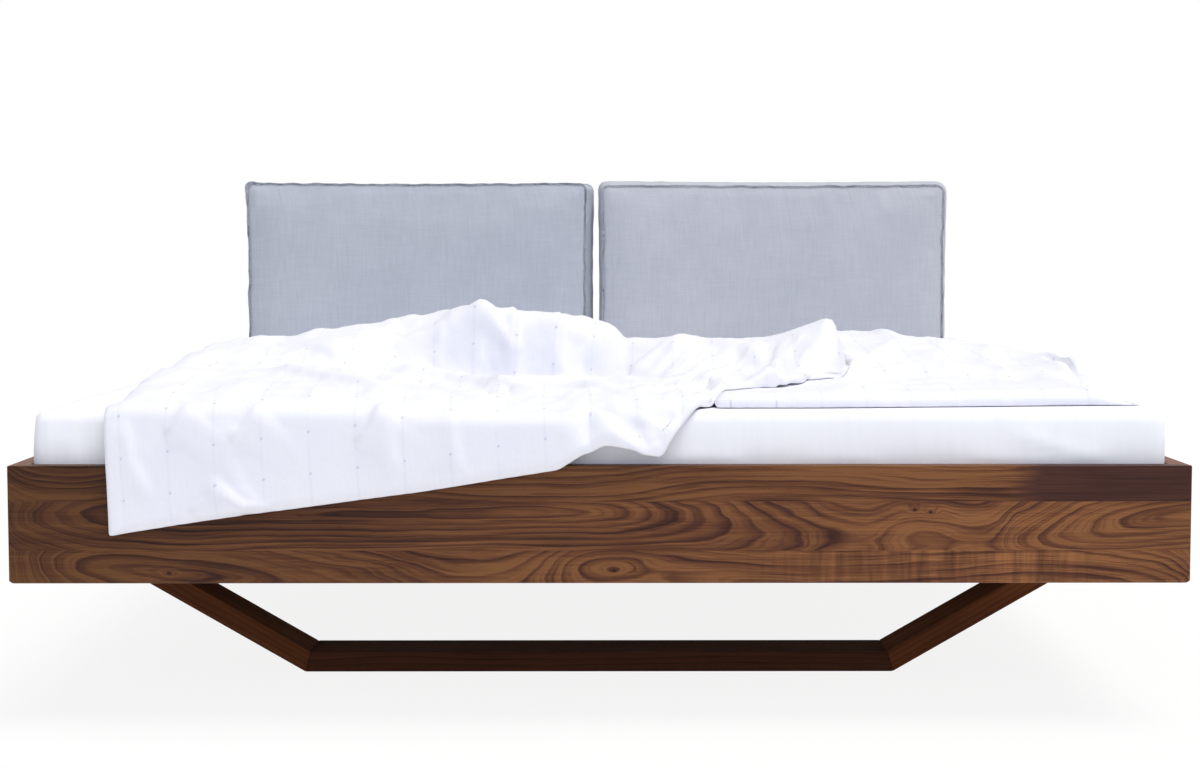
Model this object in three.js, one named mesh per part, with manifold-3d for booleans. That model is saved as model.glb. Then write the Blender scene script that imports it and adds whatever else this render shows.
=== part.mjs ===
// A double bed on sled runners, in millimetres. +X is to the right seen from the foot, +Y runs from the
// foot to the head, +Z is up, and the floor is z = 0.
import * as THREE from 'three';
import { mergeVertices } from 'three/addons/utils/BufferGeometryUtils.js';
import { RoundedBoxGeometry } from 'three/addons/geometries/RoundedBoxGeometry.js';
import Module from 'manifold-3d';

// ---------------------------------------------------------------- driving dimensions

// Mattress
const mattressWidth = 1800;
const mattressLength = 2000;
const mattressHeight = 180;
const mattressClearance = 10;
const mattressEdgeRadius = 30;

// Box frame
const boardThickness = 28;
const boardHeight = 188;
const frameLift = 232;
const arrisChamfer = 4;
const jointGap = 0.3;
const restGap = 0.3;

// Runner frames
const runnerRecess = 420;
const runnerDepth = 108;
const runnerThickness = 36;
const legAngle = THREE.MathUtils.degToRad(30);
const legTopInset = 12;
const glideThickness = 3;
const glideLength = 100;
const glideWidth = 80;
const glideInset = 60;

// Slatted base
const slatSeatHeight = 73;
const slatCount = 14;
const slatWidth = 90;
const slatThickness = 20;
const slatClearance = 5;
const ledgeWidth = 25;
const ledgeHeight = 40;
const ledgeEndInset = 60;
const strapWidth = 30;
const strapThickness = 1.5;
const strapOffset = 600;
const beamWidth = 45;
const beamEndClearance = 1;
const beamSideClearance = 0.5;
const shoeThickness = 3;
const shoeDepth = 40;
const shoeBaseHeight = 10;
const shoeHeight = 58;

// Steel angles
const angleThickness = 4;
const cornerArm = 52;
const cornerBaseHeight = 8;
const cornerTopClearance = 5;
const runnerAngleReach = 40;
const runnerAngleLength = 90;
const runnerAngleHeight = 30;

// Back cushions
const cushionHeight = 512;
const cushionDepth = 95;
const cushionGap = 10;
const cushionEdgeRadius = 22;
const panelThickness = 12;
const panelInset = 25;
const panelBaseHeight = 22;
const panelHeight = 470;
const barWidth = 40;
const barThickness = 5;
const barDrop = 120;
const barRise = 300;
const barSpacing = 520;
const socketClearance = 0.5;
const socketWall = 2;
const socketFlange = 12;
const socketBase = 150;
const socketHeight = 170;

// Duvets
const duvetGap = 0.6;
const flapThickness = 22;
const flapDropLeft = 112;
const flapDropRight = 3;
const flapTipRise = 16;
const duvetLeftOuterInset = 112;
const flapHemEnd = -65;
const overlapStart = 110;
const overlapEnd = 400;
const duvetRightOuterInset = 15;
const duvetRightSetback = 25;
const duvetRightThickness = 35;
const duvetRightFold = 68;
const duvetRightFoldSetback = 110;
const duvetLeftLength = 1640;
const duvetRightLength = 1780;
const duvetShoulderHeight = 45;
const duvetShoulderSetback = 60;
const duvetEndHeight = 50;
const crestHeight = 160;
const crestSetback = 420;
const crestLength = 340;
const crestInset = 550;
const crestMiddleDrop = 30;
const crestMiddleWidth = 170;
const troughDrop = 75;
const sideRiseInset = 240;
const sideRiseDrop = 60;
const overlapHeight = 70;
const overlapCrestDrop = 35;
const overlapSlope = 60;

// ---------------------------------------------------------------- derived places

const innerWidth = mattressWidth + 2 * mattressClearance;
const innerLength = mattressLength + 2 * mattressClearance;
const frameWidth = innerWidth + 2 * boardThickness;
const frameLength = innerLength + 2 * boardThickness;
const halfWidth = frameWidth / 2;
const halfLength = frameLength / 2;
const frameTop = frameLift + boardHeight;
const slatBottom = frameLift + slatSeatHeight;
const slatTop = slatBottom + slatThickness;
const mattressBottom = slatTop + restGap;
const mattressTop = mattressBottom + mattressHeight;
const mattressFoot = -mattressLength / 2;
const flapBack = -halfLength - duvetGap;
const flapFront = flapBack - flapThickness;
const cushionFront = innerLength / 2;
const panelFront = cushionFront + cushionDepth + jointGap;
const panelBack = panelFront + panelThickness;
const socketBack = panelBack + barThickness + 2 * socketClearance + socketWall;

// ---------------------------------------------------------------- materials

function paint(color, roughness, metalness = 0) {
  return new THREE.MeshStandardMaterial({ color, roughness, metalness });
}

const finish = {
  walnut: () => paint(0x6b4128, 0.55),
  runner: () => paint(0x3c2216, 0.55),
  slat: () => paint(0xd9b98a, 0.6),
  plywood: () => paint(0xc9a878, 0.65),
  steel: () => paint(0x3a3b3d, 0.5, 0.8),
  felt: () => paint(0x4a4038, 0.95),
  webbing: () => paint(0xe4e0d6, 0.9),
  upholstery: () => paint(0xb6bcc6, 0.9),
  sheet: () => paint(0xf4f5f8, 0.85),
  duvet: () => paint(0xf2f3f8, 0.85),
};

// ---------------------------------------------------------------- shape helpers

const bed = new THREE.Group();

// The box frame, its bedding and its cushions stand a little out of the middle lengthways, because the
// cushions reach further behind the head board than the duvet hangs before the foot board.
bed.position.y = -(socketBack + flapFront) / 2;

function place(name, geometry, material, x = 0, y = 0, z = 0) {
  const mesh = new THREE.Mesh(geometry, material);
  mesh.name = name;
  mesh.position.set(x, y, z);
  bed.add(mesh);
  return mesh;
}

function outline(points) {
  return new THREE.Shape(points.map(([u, v]) => new THREE.Vector2(u, v)));
}

function extruded(points, depth) {
  return new THREE.ExtrudeGeometry(outline(points), { depth, bevelEnabled: false });
}

// A YZ outline carried along +X from x = 0.
function alongX(points, length) {
  const toRow = new THREE.Matrix4().set(0, 0, 1, 0, 1, 0, 0, 0, 0, 1, 0, 0, 0, 0, 0, 1);
  return extruded(points, length).applyMatrix4(toRow);
}

// An XZ outline carried along Y and centred on y = 0.
function alongY(points, length) {
  const toRow = new THREE.Matrix4().set(1, 0, 0, 0, 0, 0, -1, length / 2, 0, 1, 0, 0, 0, 0, 0, 1);
  return extruded(points, length).applyMatrix4(toRow);
}

// An XY outline carried along +Z from z = 0.
function alongZ(points, height) {
  return extruded(points, height);
}

function box(x, y, z) {
  return new THREE.BoxGeometry(x, y, z);
}

// A box whose base is z = 0.
function standingBox(x, y, z) {
  return box(x, y, z).translate(0, 0, z / 2);
}

function mirrored(points, side) {
  return points.map(([u, v]) => [u * side, v]);
}

const wasm = await Module();
wasm.setup();

function solid(geometry) {
  const bare = geometry.clone();
  bare.deleteAttribute('normal');
  bare.deleteAttribute('uv');
  const merged = mergeVertices(bare, 0.0001);
  const vertProperties = new Float32Array(merged.attributes.position.array);
  const triVerts = new Uint32Array(merged.index.array);
  return new wasm.Manifold(new wasm.Mesh({ numProp: 3, vertProperties, triVerts }));
}

function common(first, second) {
  const mesh = solid(first).intersect(solid(second)).getMesh();
  const geometry = new THREE.BufferGeometry();
  geometry.setAttribute('position', new THREE.BufferAttribute(mesh.vertProperties, 3));
  geometry.setIndex(new THREE.BufferAttribute(mesh.triVerts, 1));
  geometry.computeVertexNormals();
  return geometry;
}

const sides = [
  { side: -1, label: 'left' },
  { side: 1, label: 'right' },
];

const ends = [
  { end: -1, label: 'foot' },
  { end: 1, label: 'head' },
];

// ---------------------------------------------------------------- box frame

// One board of the box: its outer face is y = 0 and it is mitred inwards at both ends. The lower outer
// arris is chamfered. The mitre faces stand back by half of the joint gap.
function boardShape(length) {
  const setBack = jointGap / Math.SQRT2;
  const outer = length / 2 - setBack;
  const inner = outer - boardThickness;
  const plan = [
    [-outer, 0],
    [outer, 0],
    [inner, boardThickness],
    [-inner, boardThickness],
  ];
  const section = [
    [arrisChamfer, 0],
    [boardThickness, 0],
    [boardThickness, boardHeight],
    [0, boardHeight],
    [0, arrisChamfer],
  ];
  const bar = alongX(section, length).translate(-length / 2, 0, 0);
  return common(bar, alongZ(plan, boardHeight));
}

place('foot_board', boardShape(frameWidth), finish.walnut(), 0, -halfLength, frameLift);
const headBoard = place('head_board', boardShape(frameWidth), finish.walnut(), 0, halfLength, frameLift);
headBoard.rotation.z = Math.PI;
for (const { side, label } of sides) {
  const rail = place(`side_rail_${label}`, boardShape(frameLength), finish.walnut());
  rail.position.set(side * halfWidth, 0, frameLift);
  rail.rotation.z = (side * Math.PI) / 2;
}

// Steel angles that pull the mitres together, below the mattress.
for (const { end, label: endLabel } of ends) {
  for (const { side, label: sideLabel } of sides) {
    const plan = [
      [0, 0],
      [-cornerArm, 0],
      [-cornerArm, -angleThickness],
      [-angleThickness, -angleThickness],
      [-angleThickness, -cornerArm],
      [0, -cornerArm],
    ].map(([u, v]) => [u * side, v * end]);
    const turned = side * end > 0 ? plan : plan.slice().reverse();
    const height = slatSeatHeight - cornerTopClearance - cornerBaseHeight;
    place(
      `corner_bracket_${endLabel}_${sideLabel}`,
      alongZ(turned, height),
      finish.steel(),
      (side * innerWidth) / 2,
      (end * innerLength) / 2,
      frameLift + cornerBaseHeight,
    );
  }
}

// ---------------------------------------------------------------- runner frames

const legTop = halfWidth - legTopInset;
const legRise = frameLift - glideThickness;
const floorBarHalf = legTop - legRise / Math.tan(legAngle);
const mitreInset = runnerThickness * Math.tan(legAngle / 2);
const legTopInner = legTop - runnerThickness / Math.sin(legAngle);
const beamBottomInner = legTopInner - runnerThickness / Math.tan(legAngle);
const runnerAngleWidth = innerWidth / 2 - legTopInner + runnerAngleReach;

function runnerFrame(label, y) {
  const bottom = glideThickness;
  const floorBarTop = glideThickness + runnerThickness;
  const barOuter = floorBarHalf - jointGap;
  const floorBar = [
    [-barOuter, bottom],
    [barOuter, bottom],
    [barOuter - mitreInset, floorBarTop],
    [-barOuter + mitreInset, floorBarTop],
  ];
  const beamTopHalf = legTopInner - jointGap / Math.sin(legAngle);
  const beamBottomHalf = beamBottomInner - jointGap / Math.sin(legAngle);
  const topBeam = [
    [-beamBottomHalf, frameLift - runnerThickness],
    [beamBottomHalf, frameLift - runnerThickness],
    [beamTopHalf, frameLift],
    [-beamTopHalf, frameLift],
  ];
  const leg = [
    [floorBarHalf, bottom],
    [legTop, frameLift],
    [legTopInner, frameLift],
    [floorBarHalf - mitreInset, floorBarTop],
  ];
  place(`runner_${label}_floor_bar`, alongY(floorBar, runnerDepth), finish.runner(), 0, y, 0);
  place(`runner_${label}_top_beam`, alongY(topBeam, runnerDepth), finish.runner(), 0, y, 0);
  for (const { side, label: sideLabel } of sides) {
    const sided = side > 0 ? leg : mirrored(leg, side).reverse();
    place(`runner_${label}_leg_${sideLabel}`, alongY(sided, runnerDepth), finish.runner(), 0, y, 0);

    const glideX = side * (floorBarHalf - glideInset - glideLength / 2);
    const glide = standingBox(glideLength, glideWidth, glideThickness);
    place(`felt_glide_${label}_${sideLabel}`, glide, finish.felt(), glideX, y, 0);

    const angle = [
      [0, 0],
      [0, runnerAngleHeight],
      [-angleThickness, runnerAngleHeight],
      [-angleThickness, angleThickness],
      [-runnerAngleWidth, angleThickness],
      [-runnerAngleWidth, 0],
    ];
    const sidedAngle = side > 0 ? angle : mirrored(angle, side).reverse();
    const bracket = alongY(sidedAngle, runnerAngleLength);
    const bracketX = (side * innerWidth) / 2;
    place(`runner_bracket_${label}_${sideLabel}`, bracket, finish.steel(), bracketX, y, frameLift);
  }
}

const runnerY = halfLength - runnerRecess - runnerDepth / 2;
runnerFrame('front', -runnerY);
runnerFrame('rear', runnerY);

// ---------------------------------------------------------------- slatted base

const ledgeLength = innerLength - 2 * ledgeEndInset;
for (const { side, label } of sides) {
  const x = (side * (innerWidth - ledgeWidth)) / 2;
  const ledge = standingBox(ledgeWidth, ledgeLength, ledgeHeight);
  place(`slat_ledge_${label}`, ledge, finish.slat(), x, 0, slatBottom - ledgeHeight);
}

const beamLength = innerLength - 2 * (shoeThickness + beamEndClearance);
place('centre_beam', standingBox(beamWidth, beamLength, slatSeatHeight), finish.slat(), 0, 0, frameLift);

for (const { end, label } of ends) {
  const inner = beamWidth / 2 + beamSideClearance;
  const outer = inner + shoeThickness;
  const plan = [
    [-outer, 0],
    [outer, 0],
    [outer, shoeDepth],
    [inner, shoeDepth],
    [inner, shoeThickness],
    [-inner, shoeThickness],
    [-inner, shoeDepth],
    [-outer, shoeDepth],
  ];
  const shoe = place(`beam_shoe_${label}`, alongZ(plan, shoeHeight), finish.steel());
  shoe.position.set(0, (end * innerLength) / 2, frameLift + shoeBaseHeight);
  shoe.rotation.z = end > 0 ? Math.PI : 0;
}

const slatLength = innerWidth - 2 * slatClearance;
const slatPitch = (ledgeLength - slatWidth) / (slatCount - 1);
for (let index = 0; index < slatCount; index += 1) {
  const y = -ledgeLength / 2 + slatWidth / 2 + index * slatPitch;
  const name = `slat_${String(index + 1).padStart(2, '0')}`;
  place(name, standingBox(slatLength, slatWidth, slatThickness), finish.slat(), 0, y, slatBottom);
}

for (const { side, label } of sides) {
  const strap = standingBox(strapWidth, ledgeLength, strapThickness);
  place(`slat_strap_${label}`, strap, finish.webbing(), side * strapOffset, 0, slatBottom - strapThickness);
}

// ---------------------------------------------------------------- back cushions

const cushionWidth = (mattressWidth - cushionGap) / 2;

// A flat bar screwed to the head board's outer face, stepped back under the cushion and up behind it.
function steppedBar() {
  const outerFace = halfLength;
  const upFront = panelBack + socketClearance;
  const upBack = upFront + barThickness;
  const profile = [
    [outerFace, -barDrop],
    [outerFace + barThickness, -barDrop],
    [outerFace + barThickness, -barThickness],
    [upBack, -barThickness],
    [upBack, barRise],
    [upFront, barRise],
    [upFront, 0],
    [outerFace, 0],
  ];
  return alongX(profile, barWidth).translate(-barWidth / 2, 0, 0);
}

// A hat section that closes on the panel's back and slips over the bar.
function hatSection() {
  const inner = barWidth / 2 + socketClearance;
  const outer = inner + socketWall;
  const brim = outer + socketFlange;
  const depth = barThickness + 2 * socketClearance;
  const plan = [
    [-brim, 0],
    [-inner, 0],
    [-inner, depth],
    [inner, depth],
    [inner, 0],
    [brim, 0],
    [brim, socketWall],
    [outer, socketWall],
    [outer, depth + socketWall],
    [-outer, depth + socketWall],
    [-outer, socketWall],
    [-brim, socketWall],
  ];
  return alongZ(plan, socketHeight);
}

const cushionBase = frameTop + restGap;
const barPlaces = [
  { offset: -barSpacing / 2, label: 'left' },
  { offset: barSpacing / 2, label: 'right' },
];
for (const { side, label } of sides) {
  const x = (side * (cushionGap + cushionWidth)) / 2;
  const coreY = cushionFront + cushionDepth / 2;
  const coreZ = cushionBase + cushionHeight / 2;
  const core = new RoundedBoxGeometry(cushionWidth, cushionDepth, cushionHeight, 3, cushionEdgeRadius);
  place(`cushion_${label}`, core, finish.upholstery(), x, coreY, coreZ);

  const panel = standingBox(cushionWidth - 2 * panelInset, panelThickness, panelHeight);
  const panelY = panelFront + panelThickness / 2;
  place(`cushion_panel_${label}`, panel, finish.plywood(), x, panelY, cushionBase + panelBaseHeight);

  for (const { offset, label: barLabel } of barPlaces) {
    const barX = x + offset;
    const socketZ = cushionBase + socketBase;
    place(`cushion_bracket_${label}_${barLabel}`, steppedBar(), finish.steel(), barX, 0, frameTop);
    place(`cushion_socket_${label}_${barLabel}`, hatSection(), finish.steel(), barX, panelBack, socketZ);
  }
}

// ---------------------------------------------------------------- bedding

const core = new RoundedBoxGeometry(mattressWidth, mattressLength, mattressHeight, 3, mattressEdgeRadius);
place('mattress', core, finish.sheet(), 0, 0, mattressBottom + mattressHeight / 2);

const bedTop = mattressTop + restGap;

// The flat duvet on the right: a thin front edge, then the folded, thicker part behind it. Its left part
// stays thin, because the other duvet lies on it.
function duvetRightShape() {
  const outer = mattressWidth / 2 - duvetRightOuterInset;
  const foot = mattressFoot + duvetRightSetback;
  const foldFoot = foot + duvetRightFoldSetback;
  const head = foot + duvetRightLength;
  const side = [
    [foot, bedTop],
    [head, bedTop],
    [head, bedTop + duvetRightFold],
    [foldFoot, bedTop + duvetRightFold],
    [foldFoot - 2 * duvetRightThickness, bedTop + duvetRightThickness],
    [foot, bedTop + duvetRightThickness],
  ];
  const front = [
    [overlapStart, bedTop],
    [outer, bedTop],
    [outer, bedTop + duvetRightFold],
    [overlapEnd + duvetRightThickness, bedTop + duvetRightFold],
    [overlapEnd + 2 * duvetGap, bedTop + duvetRightThickness],
    [overlapStart, bedTop + duvetRightThickness],
  ];
  const span = outer - overlapStart;
  const carried = alongX(side, span).translate(overlapStart, 0, 0);
  const across = alongY(front, duvetRightLength).translate(0, (foot + head) / 2, 0);
  return common(carried, across);
}

// The rumpled duvet on the left: it hangs over the foot board with a sloping hem, bridges the mattress
// edge, rises to a crest and lies over the other duvet's left part.
function duvetLeftShape() {
  const outer = -mattressWidth / 2 + duvetLeftOuterInset;
  const head = mattressFoot + duvetLeftLength;
  const crestFoot = mattressFoot + crestSetback;
  const crestOuter = outer + crestInset;
  const hemLow = frameTop - flapDropLeft;
  const hemHigh = frameTop - flapDropRight;
  const crest = bedTop + crestHeight;
  const shoulder = bedTop + duvetShoulderHeight;
  const overTop = bedTop + duvetRightThickness + duvetGap;
  const side = [
    [flapFront, hemLow],
    [flapBack, hemLow],
    [flapBack, frameTop + duvetGap],
    [mattressFoot - duvetGap, bedTop],
    [head, bedTop],
    [head, bedTop + duvetEndHeight],
    [crestFoot + crestLength, crest],
    [crestFoot, crest],
    [mattressFoot + duvetShoulderSetback, shoulder],
    [flapFront + flapThickness, shoulder],
    [flapFront, frameTop + flapThickness],
  ];
  const front = [
    [outer, hemLow],
    [flapHemEnd, hemHigh],
    [overlapStart - duvetGap, frameTop + flapTipRise],
    [overlapStart - duvetGap, overTop],
    [overlapEnd, overTop],
    [overlapEnd, overTop + overlapHeight],
    [overlapEnd - overlapSlope, crest - overlapCrestDrop],
    [overlapStart, crest - troughDrop],
    [crestOuter + crestMiddleWidth, crest - crestMiddleDrop],
    [crestOuter, crest],
    [outer + sideRiseInset, crest - sideRiseDrop],
    [outer, bedTop + duvetEndHeight],
  ];
  const span = overlapEnd - outer;
  const carried = alongX(side, span).translate(outer, 0, 0);
  const across = alongY(front, head - flapFront).translate(0, (head + flapFront) / 2, 0);
  return common(carried, across);
}

place('duvet_right', duvetRightShape(), finish.duvet());
place('duvet_left', duvetLeftShape(), finish.duvet());

export default bed;
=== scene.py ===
import math

import bmesh
import bpy
from mathutils import Matrix, Vector, noise
from mathutils.bvhtree import BVHTree


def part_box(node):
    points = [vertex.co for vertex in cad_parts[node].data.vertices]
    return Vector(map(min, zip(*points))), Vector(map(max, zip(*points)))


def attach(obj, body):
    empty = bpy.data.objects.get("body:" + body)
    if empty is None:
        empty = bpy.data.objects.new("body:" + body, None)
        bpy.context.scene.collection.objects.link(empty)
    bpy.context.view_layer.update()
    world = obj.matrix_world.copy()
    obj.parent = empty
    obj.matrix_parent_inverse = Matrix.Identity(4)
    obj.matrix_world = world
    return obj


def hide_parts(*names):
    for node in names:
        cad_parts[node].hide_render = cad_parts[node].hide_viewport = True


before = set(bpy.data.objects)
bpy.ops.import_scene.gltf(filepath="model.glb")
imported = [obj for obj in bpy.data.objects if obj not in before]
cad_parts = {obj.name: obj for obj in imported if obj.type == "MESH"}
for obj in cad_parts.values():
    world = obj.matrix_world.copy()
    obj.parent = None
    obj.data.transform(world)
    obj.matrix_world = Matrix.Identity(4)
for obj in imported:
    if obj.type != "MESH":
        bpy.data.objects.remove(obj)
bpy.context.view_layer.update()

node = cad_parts

# ---------------------------------------------------------------- camera
# A long lens at about the height of a seated eye, opposite the foot board and a finger's width left of
# the middle. It looks slightly down, and its verticals are left as they fall.

foot_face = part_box("foot_board")[0].y
eye_data = bpy.data.cameras.new("eye")
eye_data.sensor_width = 36.0
eye_data.lens = 60.66
eye = bpy.data.objects.new("eye", eye_data)
eye.location = (-0.0125, foot_face - 3.184, 0.7586)
eye.rotation_euler = (math.radians(90 - 3.753), 0, math.radians(-0.22))
bpy.context.scene.collection.objects.link(eye)
bpy.context.scene.camera = eye

# ---------------------------------------------------------------- room
# A white studio: a pale floor that runs out into a white backdrop, one broad soft lamp high up on the
# right, a weaker one in front, and a pale blue ambient light.


class Amount:
    """What a shader works out. Sums with it are written as usual, and become Math nodes."""

    def __init__(self, tree, socket):
        self.tree = tree
        self.socket = socket

    def to(self, operation, *others):
        """A Math node, with this amount first."""
        made = put(self.tree, "Math", dict(enumerate((self,) + others)), operation=operation)
        return Amount(self.tree, made.outputs[0])

    def __add__(self, other):
        return self.to("ADD", other)

    def __sub__(self, other):
        return self.to("SUBTRACT", other)

    def __mul__(self, other):
        return self.to("MULTIPLY", other)

    def __truediv__(self, other):
        return self.to("DIVIDE", other)

    def __gt__(self, other):
        return self.to("GREATER_THAN", other)

    def __lt__(self, other):
        return self.to("LESS_THAN", other)

    def __abs__(self):
        return self.to("ABSOLUTE")


def put(tree, kind, wires=None, **settings):
    """A new shader node with its sockets set or wired."""
    made = tree.nodes.new("ShaderNode" + kind)
    for key, value in settings.items():
        setattr(made, key, value)
    for socket, value in (wires or {}).items():
        if isinstance(value, Amount):
            tree.links.new(value.socket, made.inputs[socket])
        else:
            made.inputs[socket].default_value = value
    return made


class Finish:
    """A material that is built up from a place on the object: x, y and z are in metres."""

    def __init__(self, name):
        self.made = bpy.data.materials.new(name)
        self.made.use_nodes = True
        self.tree = self.made.node_tree
        self.tree.nodes.clear()
        self.place = self.get("TexCoord", out="Object")
        self.x, self.y, self.z = self.split(self.place)

    def get(self, kind, wires=None, out=0, **settings):
        """One output of a new node."""
        return Amount(self.tree, put(self.tree, kind, wires, **settings).outputs[out])

    def split(self, place):
        parts = put(self.tree, "SeparateXYZ", {0: place}).outputs
        return [Amount(self.tree, parts[way]) for way in "XYZ"]

    def clouds(self, scale, detail=3.0, roughness=0.55, place=None):
        """Soft noise from 0 to 1."""
        return self.get("TexNoise", {
            "Vector": place or self.place, "Scale": scale, "Detail": detail, "Roughness": roughness}, "Fac")

    def streaks(self, along, across, depth, detail=3.0, roughness=0.55):
        """Soft noise from 0 to 1 over amounts that are already stretched."""
        return self.clouds(1.0, detail, roughness, self.get("CombineXYZ", {0: along, 1: across, 2: depth}))

    def ramp(self, value, stops):
        """A colour or an amount read off between stops (place, shade)."""
        made = put(self.tree, "ValToRGB", {0: value})
        points = made.color_ramp.elements
        while len(points) < len(stops):
            points.new(0.5)
        for point, (place, shade) in zip(points, stops):
            point.position = place
            point.color = shade if isinstance(shade, tuple) else (shade, shade, shade, 1)
        return Amount(self.tree, made.outputs["Color"])

    def curve(self, value, start, end, points, high):
        """A smooth line through points (place, amount), read at value: amounts from 0 to high."""
        made = put(self.tree, "FloatCurve", {"Value": (value - start) / (end - start)})
        line = made.mapping.curves[0]
        while len(line.points) < len(points):
            line.points.new(0.5, 0.5)
        for point, (place, amount) in zip(line.points, points):
            point.location = ((place - start) / (end - start), amount / high)
        made.mapping.update()
        return Amount(self.tree, made.outputs[0]) * high

    def blend(self, share, first, second, blend_type="MIX"):
        """Two colours, mixed by share."""
        wires = {0: share, 6: first, 7: second}
        return self.get("Mix", wires, 2, data_type="RGBA", blend_type=blend_type)

    def toned(self, shade, amount):
        """A colour, lighter or darker by an amount."""
        grey = self.get("CombineColor", {0: amount, 1: amount, 2: amount})
        return self.blend(1.0, shade, grey, "MULTIPLY")

    def bump(self, height, strength, distance, **under):
        return self.get("Bump", {"Height": height, "Strength": strength, "Distance": distance, **under})

    def skin(self, shade, roughness, specular, bump, sheen=0.0, metal=0.0):
        """Closes the material with its surface."""
        surface = self.get("BsdfPrincipled", {
            "Base Color": shade, "Roughness": roughness, "Specular IOR Level": specular, "Normal": bump,
            "Sheen Weight": sheen, "Metallic": metal})
        put(self.tree, "OutputMaterial", {"Surface": surface})
        return self.made


def seen_or_mirrored(tree):
    """1 for a ray from the camera, or one that a gloss or glass sends on."""
    path = put(tree, "LightPath").outputs
    seen, glossy, through = [
        Amount(tree, path[f"Is {kind} Ray"]) for kind in ("Camera", "Glossy", "Transmission")]
    return seen.to("MAXIMUM", glossy).to("MAXIMUM", through)


def mixed(tree, share, first, second, closing):
    """Mixes two shaders by share and closes the tree with them."""
    wires = {0: share, 1: Amount(tree, first.outputs[0]), 2: Amount(tree, second.outputs[0])}
    put(tree, closing, {"Surface": Amount(tree, put(tree, "MixShader", wires).outputs[0])})


bpy.context.scene.view_settings.view_transform = "Standard"
world = bpy.data.worlds.new("studio")
world.use_nodes = True
world.node_tree.nodes.clear()
tree = world.node_tree
ambient = put(tree, "Background", {"Color": (0.86, 0.93, 1.0, 1), "Strength": 0.36})
white = put(tree, "Background", {"Color": (1, 1, 1, 1), "Strength": 1.0})
mixed(tree, seen_or_mirrored(tree), ambient, white, "OutputWorld")
bpy.context.scene.world = world


def lamp(name, target, place, strength, spread, tint):
    """A far lamp that shines from place towards target. Its spread, in degrees, softens its shadows."""
    data = bpy.data.lights.new(name, "SUN")
    data.energy = strength
    data.angle = math.radians(spread)
    data.color = tint
    made = bpy.data.objects.new(name, data)
    made.location = place
    made.rotation_euler = (Vector(target) - Vector(place)).to_track_quat("-Z", "Y").to_euler()
    bpy.context.scene.collection.objects.link(made)


def stand(shape, name):
    """Closes a bmesh as a new object, with its place in its mesh."""
    mesh = bpy.data.meshes.new(name)
    shape.to_mesh(mesh)
    shape.free()
    made = bpy.data.objects.new(name, mesh)
    bpy.context.scene.collection.objects.link(made)
    return made


bed_middle = (0, 0, 0.4)
lamp("overhead_softbox", bed_middle, (1.1, -0.45, 4.3), 2.35, 40, (1.0, 0.955, 0.90))
lamp("front_softbox", bed_middle, (0.3, -4.0, 1.6), 0.90, 70, (0.78, 0.86, 1.0))

floor_glow = 0.87
shape = bmesh.new()
bmesh.ops.create_grid(shape, x_segments=1, y_segments=1, size=30)
floor = stand(shape, "studio_floor")
floor_paint = Finish("floor_paint")
tree = floor_paint.tree
matt = put(tree, "BsdfDiffuse", {"Color": (0.95, 0.95, 0.95, 1)})
glow = put(tree, "Emission", {"Color": (1, 1, 1, 1), "Strength": 1.0})
mixed(tree, seen_or_mirrored(tree) * floor_glow, matt, glow, "OutputMaterial")
floor.data.materials.append(floor_paint.made)

# ---------------------------------------------------------------- box frame
# Four boards of oiled American walnut, each glued up from three planks, mitred at the corners. The
# planks keep their own cathedral figure. In the foot board two small knots sit close together in the
# middle plank, and two ring eyes in the low one.


def finished(name, finish, width=0.0012):
    """Gives a CAD node its finish. Its loose triangles are joined and its arrises broken by
    modifiers, and its mesh is left alone."""
    part = node[name]
    part.modifiers.new("weld", "WELD").merge_threshold = 0.00005
    arris = part.modifiers.new("arris", "BEVEL")
    arris.width = width
    arris.segments = 2
    arris.limit_method = "ANGLE"
    arris.angle_limit = math.radians(25)
    arris.harden_normals = True
    arris.use_clamp_overlap = True
    part.material_slots[0].material = finish


def colour(*card):
    """A colour as a paint card gives it, 0 to 255, made linear."""
    shares = [value / 255 for value in card]
    return tuple(share / 12.92 if share < 0.04045 else ((share + 0.055) / 1.055) ** 2.4
                 for share in shares) + (1,)


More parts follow.
